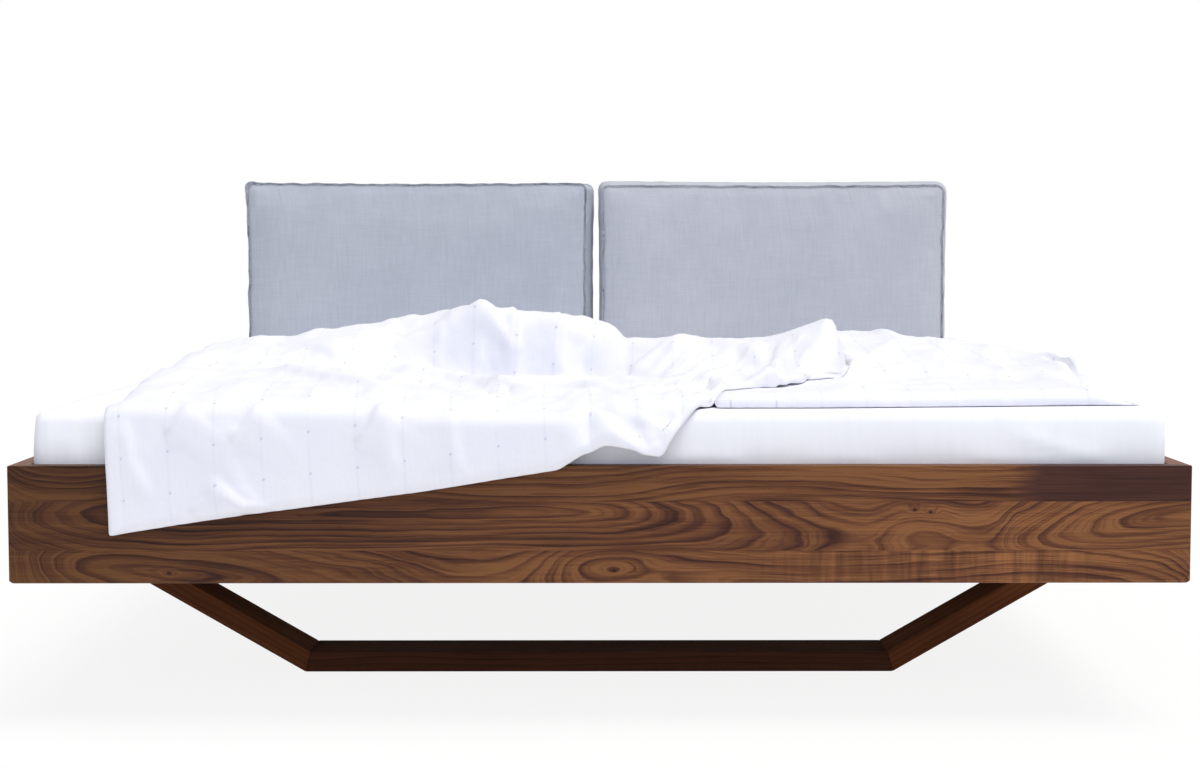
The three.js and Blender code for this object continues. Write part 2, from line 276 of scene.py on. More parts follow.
def three_plank_walnut(name, axis, outer, start, end, joints, rings, steepness, middles, hearts,
                       tone_and_shade, plank_tones=(1.0, 1.0, 1.0), knots=(), curl=(), plum=()):
    """Walnut glued up from three planks. In each plank the rings show as lines of equal distance
    from a heart line: middles gives its height along the plank, hearts how deep it lies."""
    wood = Finish(name)
    along, across = (wood.x, wood.y) if axis == "X" else (wood.y, wood.x)
    height = wood.z + abs(across - outer) * 0.55
    above_low, above_high = wood.z > joints[0], wood.z > joints[1]
    seed = (above_low + above_high) * 7.3

    def pick(values):
        """The value of each plank: the low one, the middle one or the high one."""
        lower = wood.get("Mix", {0: above_low, 2: values[0], 3: values[1]}, data_type="FLOAT")
        return wood.get("Mix", {0: above_high, 2: lower, 3: values[2]}, data_type="FLOAT")

    def drift(stretch_along, stretch_across, detail, roughness=0.55):
        return wood.streaks(along * stretch_along, height * stretch_across, seed, detail, roughness)

    def inside(low, high):
        return (wood.z > low) * (wood.z < high)

    middle = pick([wood.curve(along, start, end, line, 0.6) for line in middles])
    heart = pick([wood.curve(along, start, end, line, 0.2) for line in hearts])
    slow = drift(3.2, 16.0, 2.0) - 0.5
    quick = drift(17.0, 60.0, 2.0) - 0.5
    offset = (height - middle) * pick(steepness)
    reach = (heart * heart + offset * offset).to("SQRT") + slow * 0.030 + quick * 0.0035
    shade = 0.03
    for knot_along, knot_height, knot_length, knot_width, pull in knots:
        to_along = (along - knot_along) / knot_length
        to_height = (height - knot_height) / knot_width
        far = to_along * to_along + to_height * to_height
        reach += (far * -1.0).to("EXPONENT") * pull
        shade = (far * -14.0).to("EXPONENT") + shade

    turns = reach / pick(rings)
    line = wood.ramp(turns.to("FRACT"), [
        (0.0, 0.05), (0.40, 0.18), (0.74, 0.72), (0.88, 1.0), (0.95, 0.60), (1.0, 0.05)])
    fade = wood.streaks(along * 2.2, turns.to("FLOOR") * 3.7, seed, 1.0)
    line *= wood.ramp(fade, [(0.32, 0.10), (0.62, 1.0)])
    between_rings = (turns * 3.0 + 0.35).to("FRACT")
    thin_line = wood.ramp(between_rings, [(0.0, 0.0), (0.55, 0.15), (0.88, 1.0), (1.0, 0.0)])
    thin_line *= wood.ramp(drift(5.0, 30.0, 2.0), [(0.42, 0.0), (0.60, 1.0)])
    fibre = drift(7.0, 420.0, 4.0, 0.6)
    patch = drift(2.1, 22.0, 3.0)
    pore = wood.ramp(drift(42.0, 900.0, 1.0), [(0.66, 0.0), (0.74, 1.0)])
    streak = wood.streaks(along * 4.5, reach * 150.0, seed, 3.0, 0.6)
    streak = wood.ramp(streak, [(0.50, 0.0), (0.72, 1.0)])
    shade = (line + thin_line * 0.34) * 0.60 + shade
    shade += (fibre - 0.5) * 0.80 + (patch - 0.5) * 0.9 + streak * 0.42 + pore * 0.20
    shown = wood.ramp(shade, [(0.0, colour(136, 90, 56)), (0.28, colour(108, 67, 43)),
                              (0.60, colour(80, 47, 35)), (1.0, colour(48, 28, 23))])
    for begin, stop, low, high, depth in plum:
        edge = along + slow * 0.10 + (fibre - 0.5) * 0.10
        soft = wood.ramp((edge - begin) / (stop - begin), [(0.0, 0.0), (1.0, 1.0)])
        grey = wood.ramp(fibre, [(0.36, colour(56, 32, 30)), (0.64, colour(80, 49, 42))])
        shown = wood.blend(soft * inside(low, high) * depth, shown, grey)
    for begin, stop, low, high, amount in curl:
        rise = wood.ramp((along - begin) / (stop - begin), [
            (0.0, 0.0), (0.25, 0.7), (0.75, 1.0), (1.0, 0.0)])
        shown = wood.toned(shown, (drift(78.0, 9.0, 2.0) - 0.5) * inside(low, high) * rise * amount + 1.0)
    # Each board's tone along its length. On the foot board it darkens strongly towards the left end: partly
    # the wood's own tone, partly painted shade.
    shown = wood.toned(shown, wood.curve(along, start, end, tone_and_shade, 2.0) * pick(plank_tones))
    return wood.skin(shown, fibre * 0.12 + 0.44, 0.12, wood.bump(fibre - pore * 0.6, 0.12, 0.0006))


board_low, board_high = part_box("foot_board")
half = board_high.x
plank_joints = (board_low.z + 0.053, board_low.z + 0.131)

finished("foot_board", three_plank_walnut(
    "walnut_foot_board", "X", board_low.y, -half, half, plank_joints,
    rings=(0.0130, 0.0115, 0.0095), steepness=(1.0, 1.25, 1.0),
    middles=(
        [(-0.94, 0.270), (-0.684, 0.249), (-0.55, 0.238), (-0.40, 0.215), (-0.20, 0.200), (0.022, 0.253),
         (0.10, 0.246), (0.25, 0.228), (0.86, 0.224), (0.94, 0.190)],
        [(-0.94, 0.346), (-0.70, 0.338), (-0.30, 0.344), (0.108, 0.3395), (0.312, 0.303),
         (0.48, 0.292), (0.661, 0.2997), (0.773, 0.322), (0.94, 0.342)],
        [(-0.94, 0.325), (-0.87, 0.300), (-0.70, 0.318), (-0.10, 0.300), (0.25, 0.322),
         (0.60, 0.308), (0.94, 0.320)],
    ),
    hearts=(
        [(-0.94, 0.150), (-0.684, 0.004), (-0.60, 0.012), (-0.40, 0.030), (-0.15, 0.060), (0.022, 0.016),
         (0.10, 0.026), (0.25, 0.012), (0.86, 0.014), (0.94, 0.040)],
        [(-0.94, 0.080), (-0.86, 0.040), (-0.74, 0.020), (-0.40, 0.010), (-0.05, 0.012),
         (0.108, 0.040), (0.312, 0.090), (0.408, 0.104), (0.515, 0.086), (0.600, 0.094), (0.661, 0.070),
         (0.829, 0.022), (0.94, 0.006)],
        [(-0.94, 0.010), (0.0, 0.020), (0.94, 0.010)],
    ),
    # Darker towards the left end: the wood's own tone with painted shade, as more light falls from the
    # right.
    tone_and_shade=[(-0.94, 0.57), (-0.55, 0.68), (-0.10, 0.86), (0.30, 0.98), (0.60, 1.08), (0.94, 1.0)],
    plank_tones=(1.0, 0.98, 0.84),
    knots=((0.499, 0.350, 0.012, 0.008, 0.010), (0.524, 0.346, 0.012, 0.008, 0.010),
           (-0.684, 0.249, 0.014, 0.008, -0.006), (0.022, 0.253, 0.012, 0.007, -0.006)),
    curl=((0.20, 0.86, 0.0, plank_joints[0], 2.0),),
    plum=((0.640, 0.685, plank_joints[1], 1.0, 0.93),),
))
finished("head_board", three_plank_walnut(
    "walnut_head_board", "X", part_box("head_board")[1].y, -half, half, plank_joints,
    rings=(0.0105, 0.0110, 0.0090), steepness=(1.1, 1.0, 1.2),
    middles=(
        [(-0.94, 0.20), (-0.30, 0.22), (0.45, 0.262), (0.94, 0.250)],
        [(-0.94, 0.312), (-0.45, 0.325), (0.10, 0.318), (0.94, 0.345)],
        [(-0.94, 0.380), (-0.20, 0.395), (0.55, 0.345), (0.94, 0.330)],
    ),
    hearts=(
        [(-0.94, 0.05), (-0.20, 0.045), (0.45, 0.012), (0.94, 0.055)],
        [(-0.94, 0.020), (-0.45, 0.085), (0.10, 0.020), (0.55, 0.010), (0.94, 0.075)],
        [(-0.94, 0.060), (-0.20, 0.014), (0.55, 0.03), (0.94, 0.04)],
    ),
    tone_and_shade=[(-0.94, 0.92), (0.0, 1.0), (0.94, 0.94)],
))
for label, corner, shift in (("left", 0, 0.0), ("right", 1, 0.022)):
    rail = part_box("side_rail_" + label)
    finished("side_rail_" + label, three_plank_walnut(
        "walnut_rail_" + label, "Y", rail[corner].x, rail[0].y, rail[1].y, plank_joints,
        rings=(0.0095, 0.0105, 0.0100), steepness=(1.0, 1.1, 1.0),
        middles=(
            [(-1.07, 0.24 + shift), (-0.40, 0.258), (0.50, 0.23), (1.01, 0.20)],
            [(-1.07, 0.335), (-0.50, 0.318 + shift), (0.35, 0.322), (1.01, 0.305)],
            [(-1.07, 0.34), (-0.20, 0.375 + shift / 2), (0.60, 0.36), (1.01, 0.33)],
        ),
        hearts=(
            [(-1.07, 0.06), (-0.40, 0.012), (0.50, 0.060), (1.01, 0.05)],
            [(-1.07, 0.012), (-0.30, 0.040 + shift), (0.35, 0.090), (1.01, 0.018)],
            [(-1.07, 0.05), (-0.20, 0.022), (0.60, 0.055), (1.01, 0.04)],
        ),
        tone_and_shade=[(-1.07, 0.98), (0.0, 1.0), (1.01, 0.95)],
    ))

# ---------------------------------------------------------------- runner frames
# Two sled frames of the same walnut, stained darker: floor bar, two legs at thirty degrees and a top beam,
# mitred and glued. Their grain runs along each bar. Their dark colours are partly stain and partly painted
# shade from the bed above: the floor bars and top beams are painted darker than the legs, and the right legs
# a touch lighter than the left.


def bar_walnut(name, lean, light, deep):
    """Dark walnut with straight grain, along X before it leans by an angle round Y. Its dark colours are
    partly stain and partly painted shade.
    """
    wood = Finish(name)
    along, side, up = wood.split(wood.get(
        "Mapping", {"Vector": wood.place, "Rotation": (0, math.radians(lean), 0)}))
    across = up + side * 0.35
    turns = (wood.streaks(along * 2.2, across * 9.0, 3.1, 2.0) - 0.5) * 3.6 + across * 95.0
    line = wood.ramp(turns.to("FRACT"), [(0.0, 0.15), (0.6, 0.5), (0.85, 1.0), (1.0, 0.15)])
    fibre = wood.streaks(along * 8.0, across * 420.0, 0.7, 4.0, 0.6)
    patch = wood.streaks(along * 3.0, across * 26.0, 5.0)
    shade = line * 0.40 + (patch - 0.5) * 1.3 + fibre * 0.5
    return wood.skin(
        wood.ramp(shade, [(0.10, light), (0.85, deep)]), 0.62, 0.04, wood.bump(fibre, 0.12, 0.0006))


# Painted shade: the floor bars and top beams get darker colours than the legs, for the bed's shadow over
# them, and the right legs are a touch lighter than the left, for the light from the right.
shaded_flat_bar_walnut = bar_walnut("runner_walnut_flat_painted_shade", 0, colour(88, 52, 36), colour(48, 28, 20))
lit_leg_walnut = {
    "left": bar_walnut("runner_walnut_left_leg", -30, colour(112, 66, 38), colour(66, 38, 24)),
    "right": bar_walnut("runner_walnut_right_leg", 30, colour(116, 68, 39), colour(68, 39, 24)),
}
for end in ("front", "rear"):
    finished(f"runner_{end}_floor_bar", shaded_flat_bar_walnut)
    finished(f"runner_{end}_top_beam", shaded_flat_bar_walnut)
    for label in ("left", "right"):
        finished(f"runner_{end}_leg_{label}", lit_leg_walnut[label])

# ---------------------------------------------------------------- corner brackets
# Folded steel angles with a black powder coat, one in each corner of the box. Zinc plated pan head
# screws, two in each arm, draw the mitred joint together.

coat = Finish("black_powder_coat")
dust = coat.clouds(45.0, 4.0)
black = colour(38, 38, 40)
dusty_black = tuple(value * 1.7 + 0.004 for value in black[:3]) + (1,)
black_coat = coat.skin(
    coat.ramp(dust, [(0.40, black), (0.78, dusty_black)]),
    dust * 0.22 + 0.38, 0.4, coat.bump(coat.clouds(1100.0, 2.0), 0.22, 0.0003))
plate = Finish("screw_zinc")
bloom = plate.clouds(420.0)
screw_zinc = plate.skin(
    plate.ramp(bloom, [(0.3, colour(142, 147, 152)), (0.7, colour(186, 189, 190))]),
    bloom * 0.25 + 0.25, 0.5, plate.bump(bloom, 0.15, 0.0002), metal=1.0)


def screws(name, body, seats, size=0.0048):
    """Pan head screws with a socket, in one piece. seats holds each head's place and way out."""
    shape = bmesh.new()
    done = set()
    for place, way in seats:
        rim = bmesh.ops.create_circle(shape, cap_ends=True, segments=12, radius=size)["verts"]
        lifted = bmesh.ops.extrude_face_region(shape, geom=[rim[0].link_faces[0]])["geom"]
        top = [item for item in lifted if isinstance(item, bmesh.types.BMFace)][0]
        bmesh.ops.translate(shape, vec=(0, 0, size * 0.30), verts=top.verts)
        for inset, depth in ((0.28, 0.16), (0.26, 0), (0.02, -0.30)):
            bmesh.ops.inset_individual(shape, faces=[top], thickness=size * inset, depth=size * depth)
        fresh = [vertex for vertex in shape.verts if vertex not in done]
        turn = Vector((0, 0, 1)).rotation_difference(Vector(way)).to_matrix().to_4x4()
        bmesh.ops.transform(shape, matrix=Matrix.Translation(place) @ turn, verts=fresh)
        done.update(fresh)
    bmesh.ops.recalc_face_normals(shape, faces=shape.faces)
    made = stand(shape, name)
    made.data.materials.append(screw_zinc)
    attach(made, body)


plate_thickness = 0.004
sides = (("left", 1), ("right", -1))
for end, inward_y in (("foot", 1), ("head", -1)):
    for label, inward_x in sides:
        finished(f"corner_bracket_{end}_{label}", black_coat, 0.0006)
        low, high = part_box(f"corner_bracket_{end}_{label}")
        corner_x = low.x if label == "left" else high.x
        corner_y = low.y if end == "foot" else high.y
        seats = []
        for reach, height in ((0.020, low.z + 0.015), (0.040, high.z - 0.015)):
            seats.append(((corner_x + inward_x * reach, corner_y + inward_y * plate_thickness, height),
                          (0, inward_y, 0)))
            seats.append(((corner_x + inward_x * plate_thickness, corner_y + inward_y * reach, height),
                          (inward_x, 0, 0)))
        screws(f"corner_screws_{end}_{label}", "frame", seats)

# ---------------------------------------------------------------- runner brackets
# Shorter angles of the same steel, two to each runner frame. They are screwed sideways into the side
# rails and down into the top beam.

for end in ("front", "rear"):
    for label, inward_x in sides:
        finished(f"runner_bracket_{end}_{label}", black_coat, 0.0006)
        low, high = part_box(f"runner_bracket_{end}_{label}")
        corner_x = low.x if label == "left" else high.x
        seats = []
        for share in (0.2, 0.8):
            at_y = low.y + share * (high.y - low.y)
            seats.append(((corner_x + inward_x * plate_thickness, at_y, low.z + 0.019), (inward_x, 0, 0)))
            for reach in (0.028, 0.080):
                seats.append(((corner_x + inward_x * reach, at_y, low.z + plate_thickness), (0, 0, 1)))
        screws(f"runner_screws_{end}_{label}", "frame", seats)

# ---------------------------------------------------------------- felt glides
# Pressed wool felt pads, stuck under both ends of each floor bar. Short hairs stand out of the felt, and
# its grey-brown is a little clumpy.

felt = Finish("pressed_felt")
hairs = felt.clouds(700.0, 5.0, 0.7)
glide_felt = felt.skin(
    felt.ramp(felt.clouds(120.0) * 0.4 + hairs * 0.6, [
        (0.35, colour(52, 44, 40)), (0.65, colour(98, 88, 80))]),
    0.97, 0.05, felt.bump(hairs, 0.6, 0.0008), sheen=0.15)
for end in ("front", "rear"):
    for label in ("left", "right"):
        finished(f"felt_glide_{end}_{label}", glide_felt, 0.0007)

# ---------------------------------------------------------------- slatted base
# Fourteen sanded beech slats, held at equal distances by two cotton webbing straps. They lie on battens
# along the side rails and on a beech beam at half width, which hangs in two steel shoes.


def sanded_wood(name, axis, light, deep):
    """Pale wood with straight grain along one axis, and short darker rays."""
    wood = Finish(name)
    along, across = (wood.x, wood.y) if axis == "X" else (wood.y, wood.x)
    across += wood.z * 0.8
    grain = wood.streaks(along * 1.6, across * 46.0, 1.3, 5.0, 0.65)
    fibre = wood.streaks(along * 14.0, across * 620.0, 2.9)
    rays = wood.ramp(wood.streaks(along * 150.0, across * 900.0, 7.7, 1.0), [(0.64, 0.0), (0.72, 1.0)])
    shade = grain * 0.7 + fibre * 0.3 + rays * 0.16
    return wood.skin(
        wood.ramp(shade, [(0.30, light), (0.75, deep)]), 0.62, 0.2, wood.bump(fibre, 0.15, 0.0005))


slat_beech = sanded_wood("sanded_beech_slats", "X", colour(224, 193, 150), colour(186, 146, 104))
beam_beech = sanded_wood("sanded_beech_beam", "Y", colour(218, 186, 142), colour(180, 140, 98))
slat_names = [name for name in node if name.startswith("slat_") and name[5:].isdigit()]
for name in slat_names:
    finished(name, slat_beech, 0.0025)
for name in ("slat_ledge_left", "slat_ledge_right", "centre_beam"):
    finished(name, beam_beech, 0.0015)

ledge_screws = 8
for label, inward_x in sides:
    low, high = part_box("slat_ledge_" + label)
    face_x = high.x if label == "left" else low.x
    pitch = (high.y - low.y) / ledge_screws
    seats = [((face_x, low.y + pitch * (step + 0.5), low.z + 0.020), (inward_x, 0, 0))
             for step in range(ledge_screws)]
    screws("ledge_screws_" + label, "frame", seats)

for end, inward_y in (("foot", 1), ("head", -1)):
    finished("beam_shoe_" + end, black_coat, 0.0005)
    low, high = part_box("beam_shoe_" + end)
    at_y = (low.y if end == "foot" else high.y) + inward_y * 0.024
    seats = [((side, at_y, low.z + height), (1 if side > 0 else -1, 0, 0))
             for side in (low.x, high.x) for height in (0.020, 0.042)]
    screws("shoe_screws_" + end, "frame", seats, size=0.0040)

webbing = Finish("cotton_webbing")
basket = (webbing.y * 3600.0).to("SINE") * (webbing.x * 5200.0).to("SINE") * 0.5 + 0.5
cotton_webbing = webbing.skin(
    webbing.ramp(basket * 0.5 + webbing.clouds(60.0) * 0.5, [
        (0.2, colour(196, 190, 176)), (0.7, colour(232, 228, 216))]),
    0.9, 0.1, webbing.bump(basket, 0.5, 0.0006))
for label in ("left", "right"):
    node["slat_strap_" + label].material_slots[0].material = cotton_webbing
    low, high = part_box("slat_strap_" + label)
    seats = []
    for name in slat_names:
        slat_low, slat_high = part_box(name)
        middle_y = (slat_low.y + slat_high.y) / 2
        seats += [(((low.x + high.x) / 2, middle_y + shift, low.z), (0, 0, -1)) for shift in (-0.02, 0.02)]
    screws("strap_tacks_" + label, "frame", seats, size=0.0030)

# ---------------------------------------------------------------- back cushions
# Two loose back cushions in a blue-grey linen weave, filled with feathers and foam. Front and back panels
# meet the boxing in raised flanged seams, which run a little wavy; the left cushion's front seam ends in an
# ear at its top left corner.


def slab_grid(name, width, height, depth, step):
    """A closed box of even quads, standing in XZ: front panel at y = 0, back panel at y = depth."""
    shape = bmesh.new()
    columns, rows = round(width / step), round(height / step)
    bmesh.ops.create_grid(shape, x_segments=columns, y_segments=rows, size=0.5)
    bmesh.ops.scale(shape, vec=(width, height, 1), verts=shape.verts)
    turn = Matrix.Rotation(math.radians(90), 4, "X")
    bmesh.ops.transform(shape, matrix=turn, verts=shape.verts)
    copy = bmesh.ops.duplicate(shape, geom=shape.verts[:] + shape.edges[:] + shape.faces[:])
    back = [item for item in copy["geom"] if isinstance(item, bmesh.types.BMVert)]
    bmesh.ops.translate(shape, vec=(0, depth, 0), verts=back)
    rims = [edge for edge in shape.edges if edge.is_boundary]
    bridged = bmesh.ops.bridge_loops(shape, edges=rims)
    across = [edge for edge in bridged["edges"] if abs(edge.verts[0].co.y - edge.verts[1].co.y) > depth / 2]
    bmesh.ops.subdivide_edges(shape, edges=across, cuts=max(1, round(depth / step) - 1), use_grid_fill=True)
    bmesh.ops.recalc_face_normals(shape, faces=shape.faces)
    return stand(shape, name)


def settle(made, hold, frames, cap, slack, stiff, bend, pressure=0.0, pull=0.0):
    """Lets the fabric take its own shape as cloth and keeps the result in the mesh. hold gives each
    vertex's pin, from 0 free to 1 fixed, and no vertex ends up further than cap from where it was."""
    pins = made.vertex_groups.new(name="pins")
    for index, weight in enumerate(hold):
        pins.add([index], weight, "REPLACE")
    cloth = made.modifiers.new("cloth", "CLOTH")
    rules = cloth.settings
    rules.quality = 6
    rules.mass = 0.3
    rules.tension_stiffness = rules.compression_stiffness = stiff
    rules.shear_stiffness = stiff / 3
    rules.bending_stiffness = bend
    rules.vertex_group_mass = "pins"
    rules.pin_stiffness = pull
    rules.use_pressure = pressure > 0
    rules.uniform_pressure_force = pressure
    rules.shrink_min = -slack
    rules.effector_weights.gravity = 0
    cloth.collision_settings.use_collision = False
    cloth.point_cache.frame_start = 1
    cloth.point_cache.frame_end = frames
    for frame_number in range(1, frames + 1):
        bpy.context.scene.frame_set(frame_number)
    settled = made.evaluated_get(bpy.context.evaluated_depsgraph_get()).to_mesh()
    for vertex, moved in zip(made.data.vertices, [vertex.co.copy() for vertex in settled.vertices]):
        step = moved - vertex.co
        if step.length > cap:
            step *= cap / step.length
        vertex.co += step
    made.modifiers.remove(cloth)
    made.vertex_groups.remove(pins)
    bpy.context.scene.frame_set(1)


def smooth(mesh):
    """Shades all faces smoothly."""
    for face in mesh.polygons:
        face.use_smooth = True


def keep_finer(made):
    """One subdivision, applied, so that the mesh itself is fine."""
    mesh_before = made.data
    step = made.modifiers.new("finer", "SUBSURF")
    step.levels = step.render_levels = 1
    graph = bpy.context.evaluated_depsgraph_get()
    graph.update()
    fine = bpy.data.meshes.new_from_object(
        made.evaluated_get(graph), preserve_all_data_layers=True, depsgraph=graph)
    made.modifiers.remove(step)
    made.data = fine
    fine.name = mesh_before.name + "_fine"
    bpy.data.meshes.remove(mesh_before)
    return fine


def waver(x, y, z):
    """Even noise round zero at a place."""
    return noise.noise(Vector((x, y, z)))


def round_corner(across, up, start, end, radius):
    """Puts a place of an even grid onto a rectangle with round corners, which reaches from start to end.
    It returns the place, the way out of the rounding and how far inside its rim the place lies."""
    inner = [min(max(at, low + radius), high - radius) for at, low, high in zip((across, up), start, end)]
    off = Vector((across - inner[0], up - inner[1]))
    if abs(off.x) > 1e-6 and abs(off.y) > 1e-6:
        off *= max(abs(off.x), abs(off.y)) / off.length
        across, up = inner[0] + off.x, inner[1] + off.y
    outwards = off.normalized() if off.length > 1e-6 else Vector((0, 0))
    return across, up, outwards, radius - off.length


def linen(name, light, deep):
    """Plain weave of slubby yarns: thick and thin places in the warp, finer ones in the weft."""
    cloth = Finish(name)
    side = cloth.x + cloth.y
    warp = cloth.streaks(side * 900.0, cloth.z * 14.0, 0.3, 2.0)
    weft = cloth.streaks(side * 20.0, cloth.z * 900.0, 5.3, 2.0)
    slub_up = cloth.streaks(side * 210.0, cloth.z * 16.0, 9.1)
    slub_across = cloth.streaks(side * 22.0, cloth.z * 230.0, 2.4)
    yarns = warp * 0.55 + weft * 0.45
    shade = (slub_up * 0.6 + slub_across * 0.4) * 0.30 + yarns * 0.50 + cloth.clouds(9.0) * 0.20
    wires = {"Vector": cloth.place, "Scale": 260.0, "Distortion": 1.2, "Detail": 1.0}
    threads, rows = [
        cloth.get("TexWave", wires, "Fac", wave_type="BANDS", bands_direction=way) for way in "XZ"]
    weave = cloth.bump(yarns * 1.2 + threads * rows, 0.25, 0.0008)
    return cloth.skin(cloth.ramp(shade, [(0.34, deep), (0.66, light)]), 0.92, 0.12, weave, sheen=0.06)


# The two cushions are lit and shaded copies of one linen: the left one is painted a little darker, painted
# shade for the light that falls more on the right.
cushion_linen = {
    "left": linen("blue_grey_linen_left_painted_shade", colour(197, 200, 210), colour(173, 177, 187)),
    "right": linen("blue_grey_linen_right", colour(203, 204, 213), colour(180, 183, 192)),
}
cover_depth, cover_step = 0.090, 0.0105
corner_radius, ear_length, seam_width = 0.014, 0.011, 0.0075
# how far the front panel stands out in the middle, before its seam
crown = 0.0115
# The front and back seams' rectangles in x and z, and how far the boxing swells beyond them between
# the two: left, right, bottom, top.
seams = {
    "left": ((-0.8975, -0.0330, 0.4335, 0.9285), (-0.8960, -0.0150, 0.4250, 0.9290),
             (0.005, 0.013, 0.006, 0.004)),
    "right": ((0.0180, 0.8925, 0.4335, 0.9235), (0.0100, 0.9045, 0.4250, 0.9350),
              (0.010, 0.012, 0.006, 0.011)),
}
for label in ("left", "right"):
    low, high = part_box("cushion_" + label)
    front, back, swell = seams[label]
    front_y, back_y = low.y + 0.0105, high.y - 0.0010
    width, height = front[1] - front[0], front[3] - front[2]
    cushion = slab_grid("cushion_cover_" + label, width, height, cover_depth, cover_step)
    mesh = cushion.data
    seed = 3.0 if label == "left" else 11.0
    holds = []
    loops = {0: [], 1: []}
    for vertex in mesh.vertices:
        point = vertex.co
        share_x, share_z, deep = point.x / width + 0.5, point.z / height + 0.5, point.y / cover_depth
        on_rim = min(share_x, 1 - share_x, share_z, 1 - share_z) < 1e-4
        left_edge, right_edge, bottom_edge, top_edge = [
            first + (second - first) * deep for first, second in zip(front, back)]
        x, z, outwards, near = round_corner(
            left_edge + (right_edge - left_edge) * share_x, bottom_edge + (top_edge - bottom_edge) * share_z,
            (left_edge, bottom_edge), (right_edge, top_edge), corner_radius)
        if outwards.length < 0.5:
            near = min(x - left_edge, right_edge - x, z - bottom_edge, top_edge - z)
        # the seams draw in a little between the corners, and run wavy
        crown_x, crown_z = math.sin(math.pi * share_x), math.sin(math.pi * share_z)
        drawn = 0.0030 * (crown_z * abs(outwards.x) + crown_x * abs(outwards.y))
        wavy = 0.0026 * waver(x * 26, seed, z * 26) + 0.0016 * waver(x * 70, seed, z * 70)
        wavy *= max(0.0, 1 - deep * 2.5)
        x += outwards.x * (wavy - drawn)
        z += outwards.y * (wavy - drawn)
        if on_rim:
            puff = max(0.0, math.sin(math.pi * deep)) ** 0.75
            x += outwards.x * puff * swell[0 if outwards.x < 0 else 1]
            z += outwards.y * puff * swell[2 if outwards.y < 0 else 3]
            y = front_y + (back_y - front_y) * deep
        elif deep < 0.5:
            pucker = waver(x * 45, seed, z * 45) * math.exp(-near / 0.02)
            y = front_y - crown * (1 - math.exp(-near / 0.016)) + 0.0018 * pucker
            y -= 0.002 * crown_x * crown_z
        else:
            y = back_y
        vertex.co = Vector((x, y, z))
        at_seam = on_rim and (deep < 1e-4 or deep > 1 - 1e-4)
        holds.append(1.0 if at_seam or deep > 1 - 1e-4 else 0.0)
        if at_seam:
            loops[0 if deep < 0.5 else 1].append(vertex.index)
    settle(cushion, holds, 16, cap=0.006, slack=0.004, stiff=14.0, bend=0.5, pressure=1.6)

    # The flanged seams: a strip of double cloth, standing out from the front seam and the back one.
    shape = bmesh.new()
    shape.from_mesh(mesh)
    crease = shape.edges.layers.float.new("crease_edge")
    middle = Vector(((front[0] + front[1]) / 2, 0, (front[2] + front[3]) / 2))
    for end in (0, 1):
        shape.verts.ensure_lookup_table()
        around = set(loops[end])
        for edge in shape.edges:
            if edge.verts[0].index in around and edge.verts[1].index in around:
                edge[crease] = 0.8
        start = shape.verts[loops[end][0]]
        ordered = [start]
        while True:
            options = [edge.other_vert(ordered[-1]) for edge in ordered[-1].link_edges
                       if edge.other_vert(ordered[-1]).index in around]
            options = [vertex for vertex in options if vertex not in ordered[-2:]]
            if not options or options[0] is start:
                break
            ordered.append(options[0])
        places = [vertex.co.copy() for vertex in ordered]
        count = len(places)
        ring = [shape.verts.new(place) for place in places]
        strip = [shape.edges.new((ring[step], ring[(step + 1) % count])) for step in range(count)]
        grown = bmesh.ops.extrude_edge_only(shape, edges=strip)["geom"]
        outer = [item for item in grown if isinstance(item, bmesh.types.BMVert)]
        faces = [item for item in grown if isinstance(item, bmesh.types.BMFace)]
        for vertex in outer:
            step = min(range(count), key=lambda index: (places[index] - vertex.co).length_squared)
            run = places[(step + 2) % count] - places[step - 2]
            outwards = Vector((run.z, 0, -run.x)).normalized()
            if outwards.dot(places[step] - middle) < 0:
                outwards.negate()
            reach = seam_width * (1 + 0.25 * noise.noise(places[step] * 24))
            if label == "left" and end == 0:
                corner = Vector((front[0], places[step].y, front[3]))
                reach += ear_length * math.exp(-((places[step] - corner).length / corner_radius) ** 2)
            lean = 0.0012 * noise.noise(places[step] * 40) - (0.0015 if end == 0 else -0.0002)
            vertex.co += outwards * reach + Vector((0, lean, 0))
        for vertex, place in zip(ring, places):
            vertex.co = place + (middle - place).normalized() * 0.0008
            vertex.co.y = place.y
        if end == 1:
            bmesh.ops.translate(shape, vec=(0, -0.0035, 0), verts=ring + outer)
        bmesh.ops.solidify(shape, geom=faces, thickness=0.0026)
        shape.verts.index_update()
    bmesh.ops.recalc_face_normals(shape, faces=shape.faces)
    shape.to_mesh(mesh)
    shape.free()
    mesh = keep_finer(cushion)
    smooth(mesh)
    mesh.materials.append(cushion_linen[label])
    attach(cushion, "cushion_" + label)
    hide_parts("cushion_" + label)

# ---------------------------------------------------------------- cushion backs and bars
# The cushions are stiffened by plywood backs. Sheet steel sockets on the backs slip down over four
# stepped flat bars, and the bars are screwed to the outside of the head board.

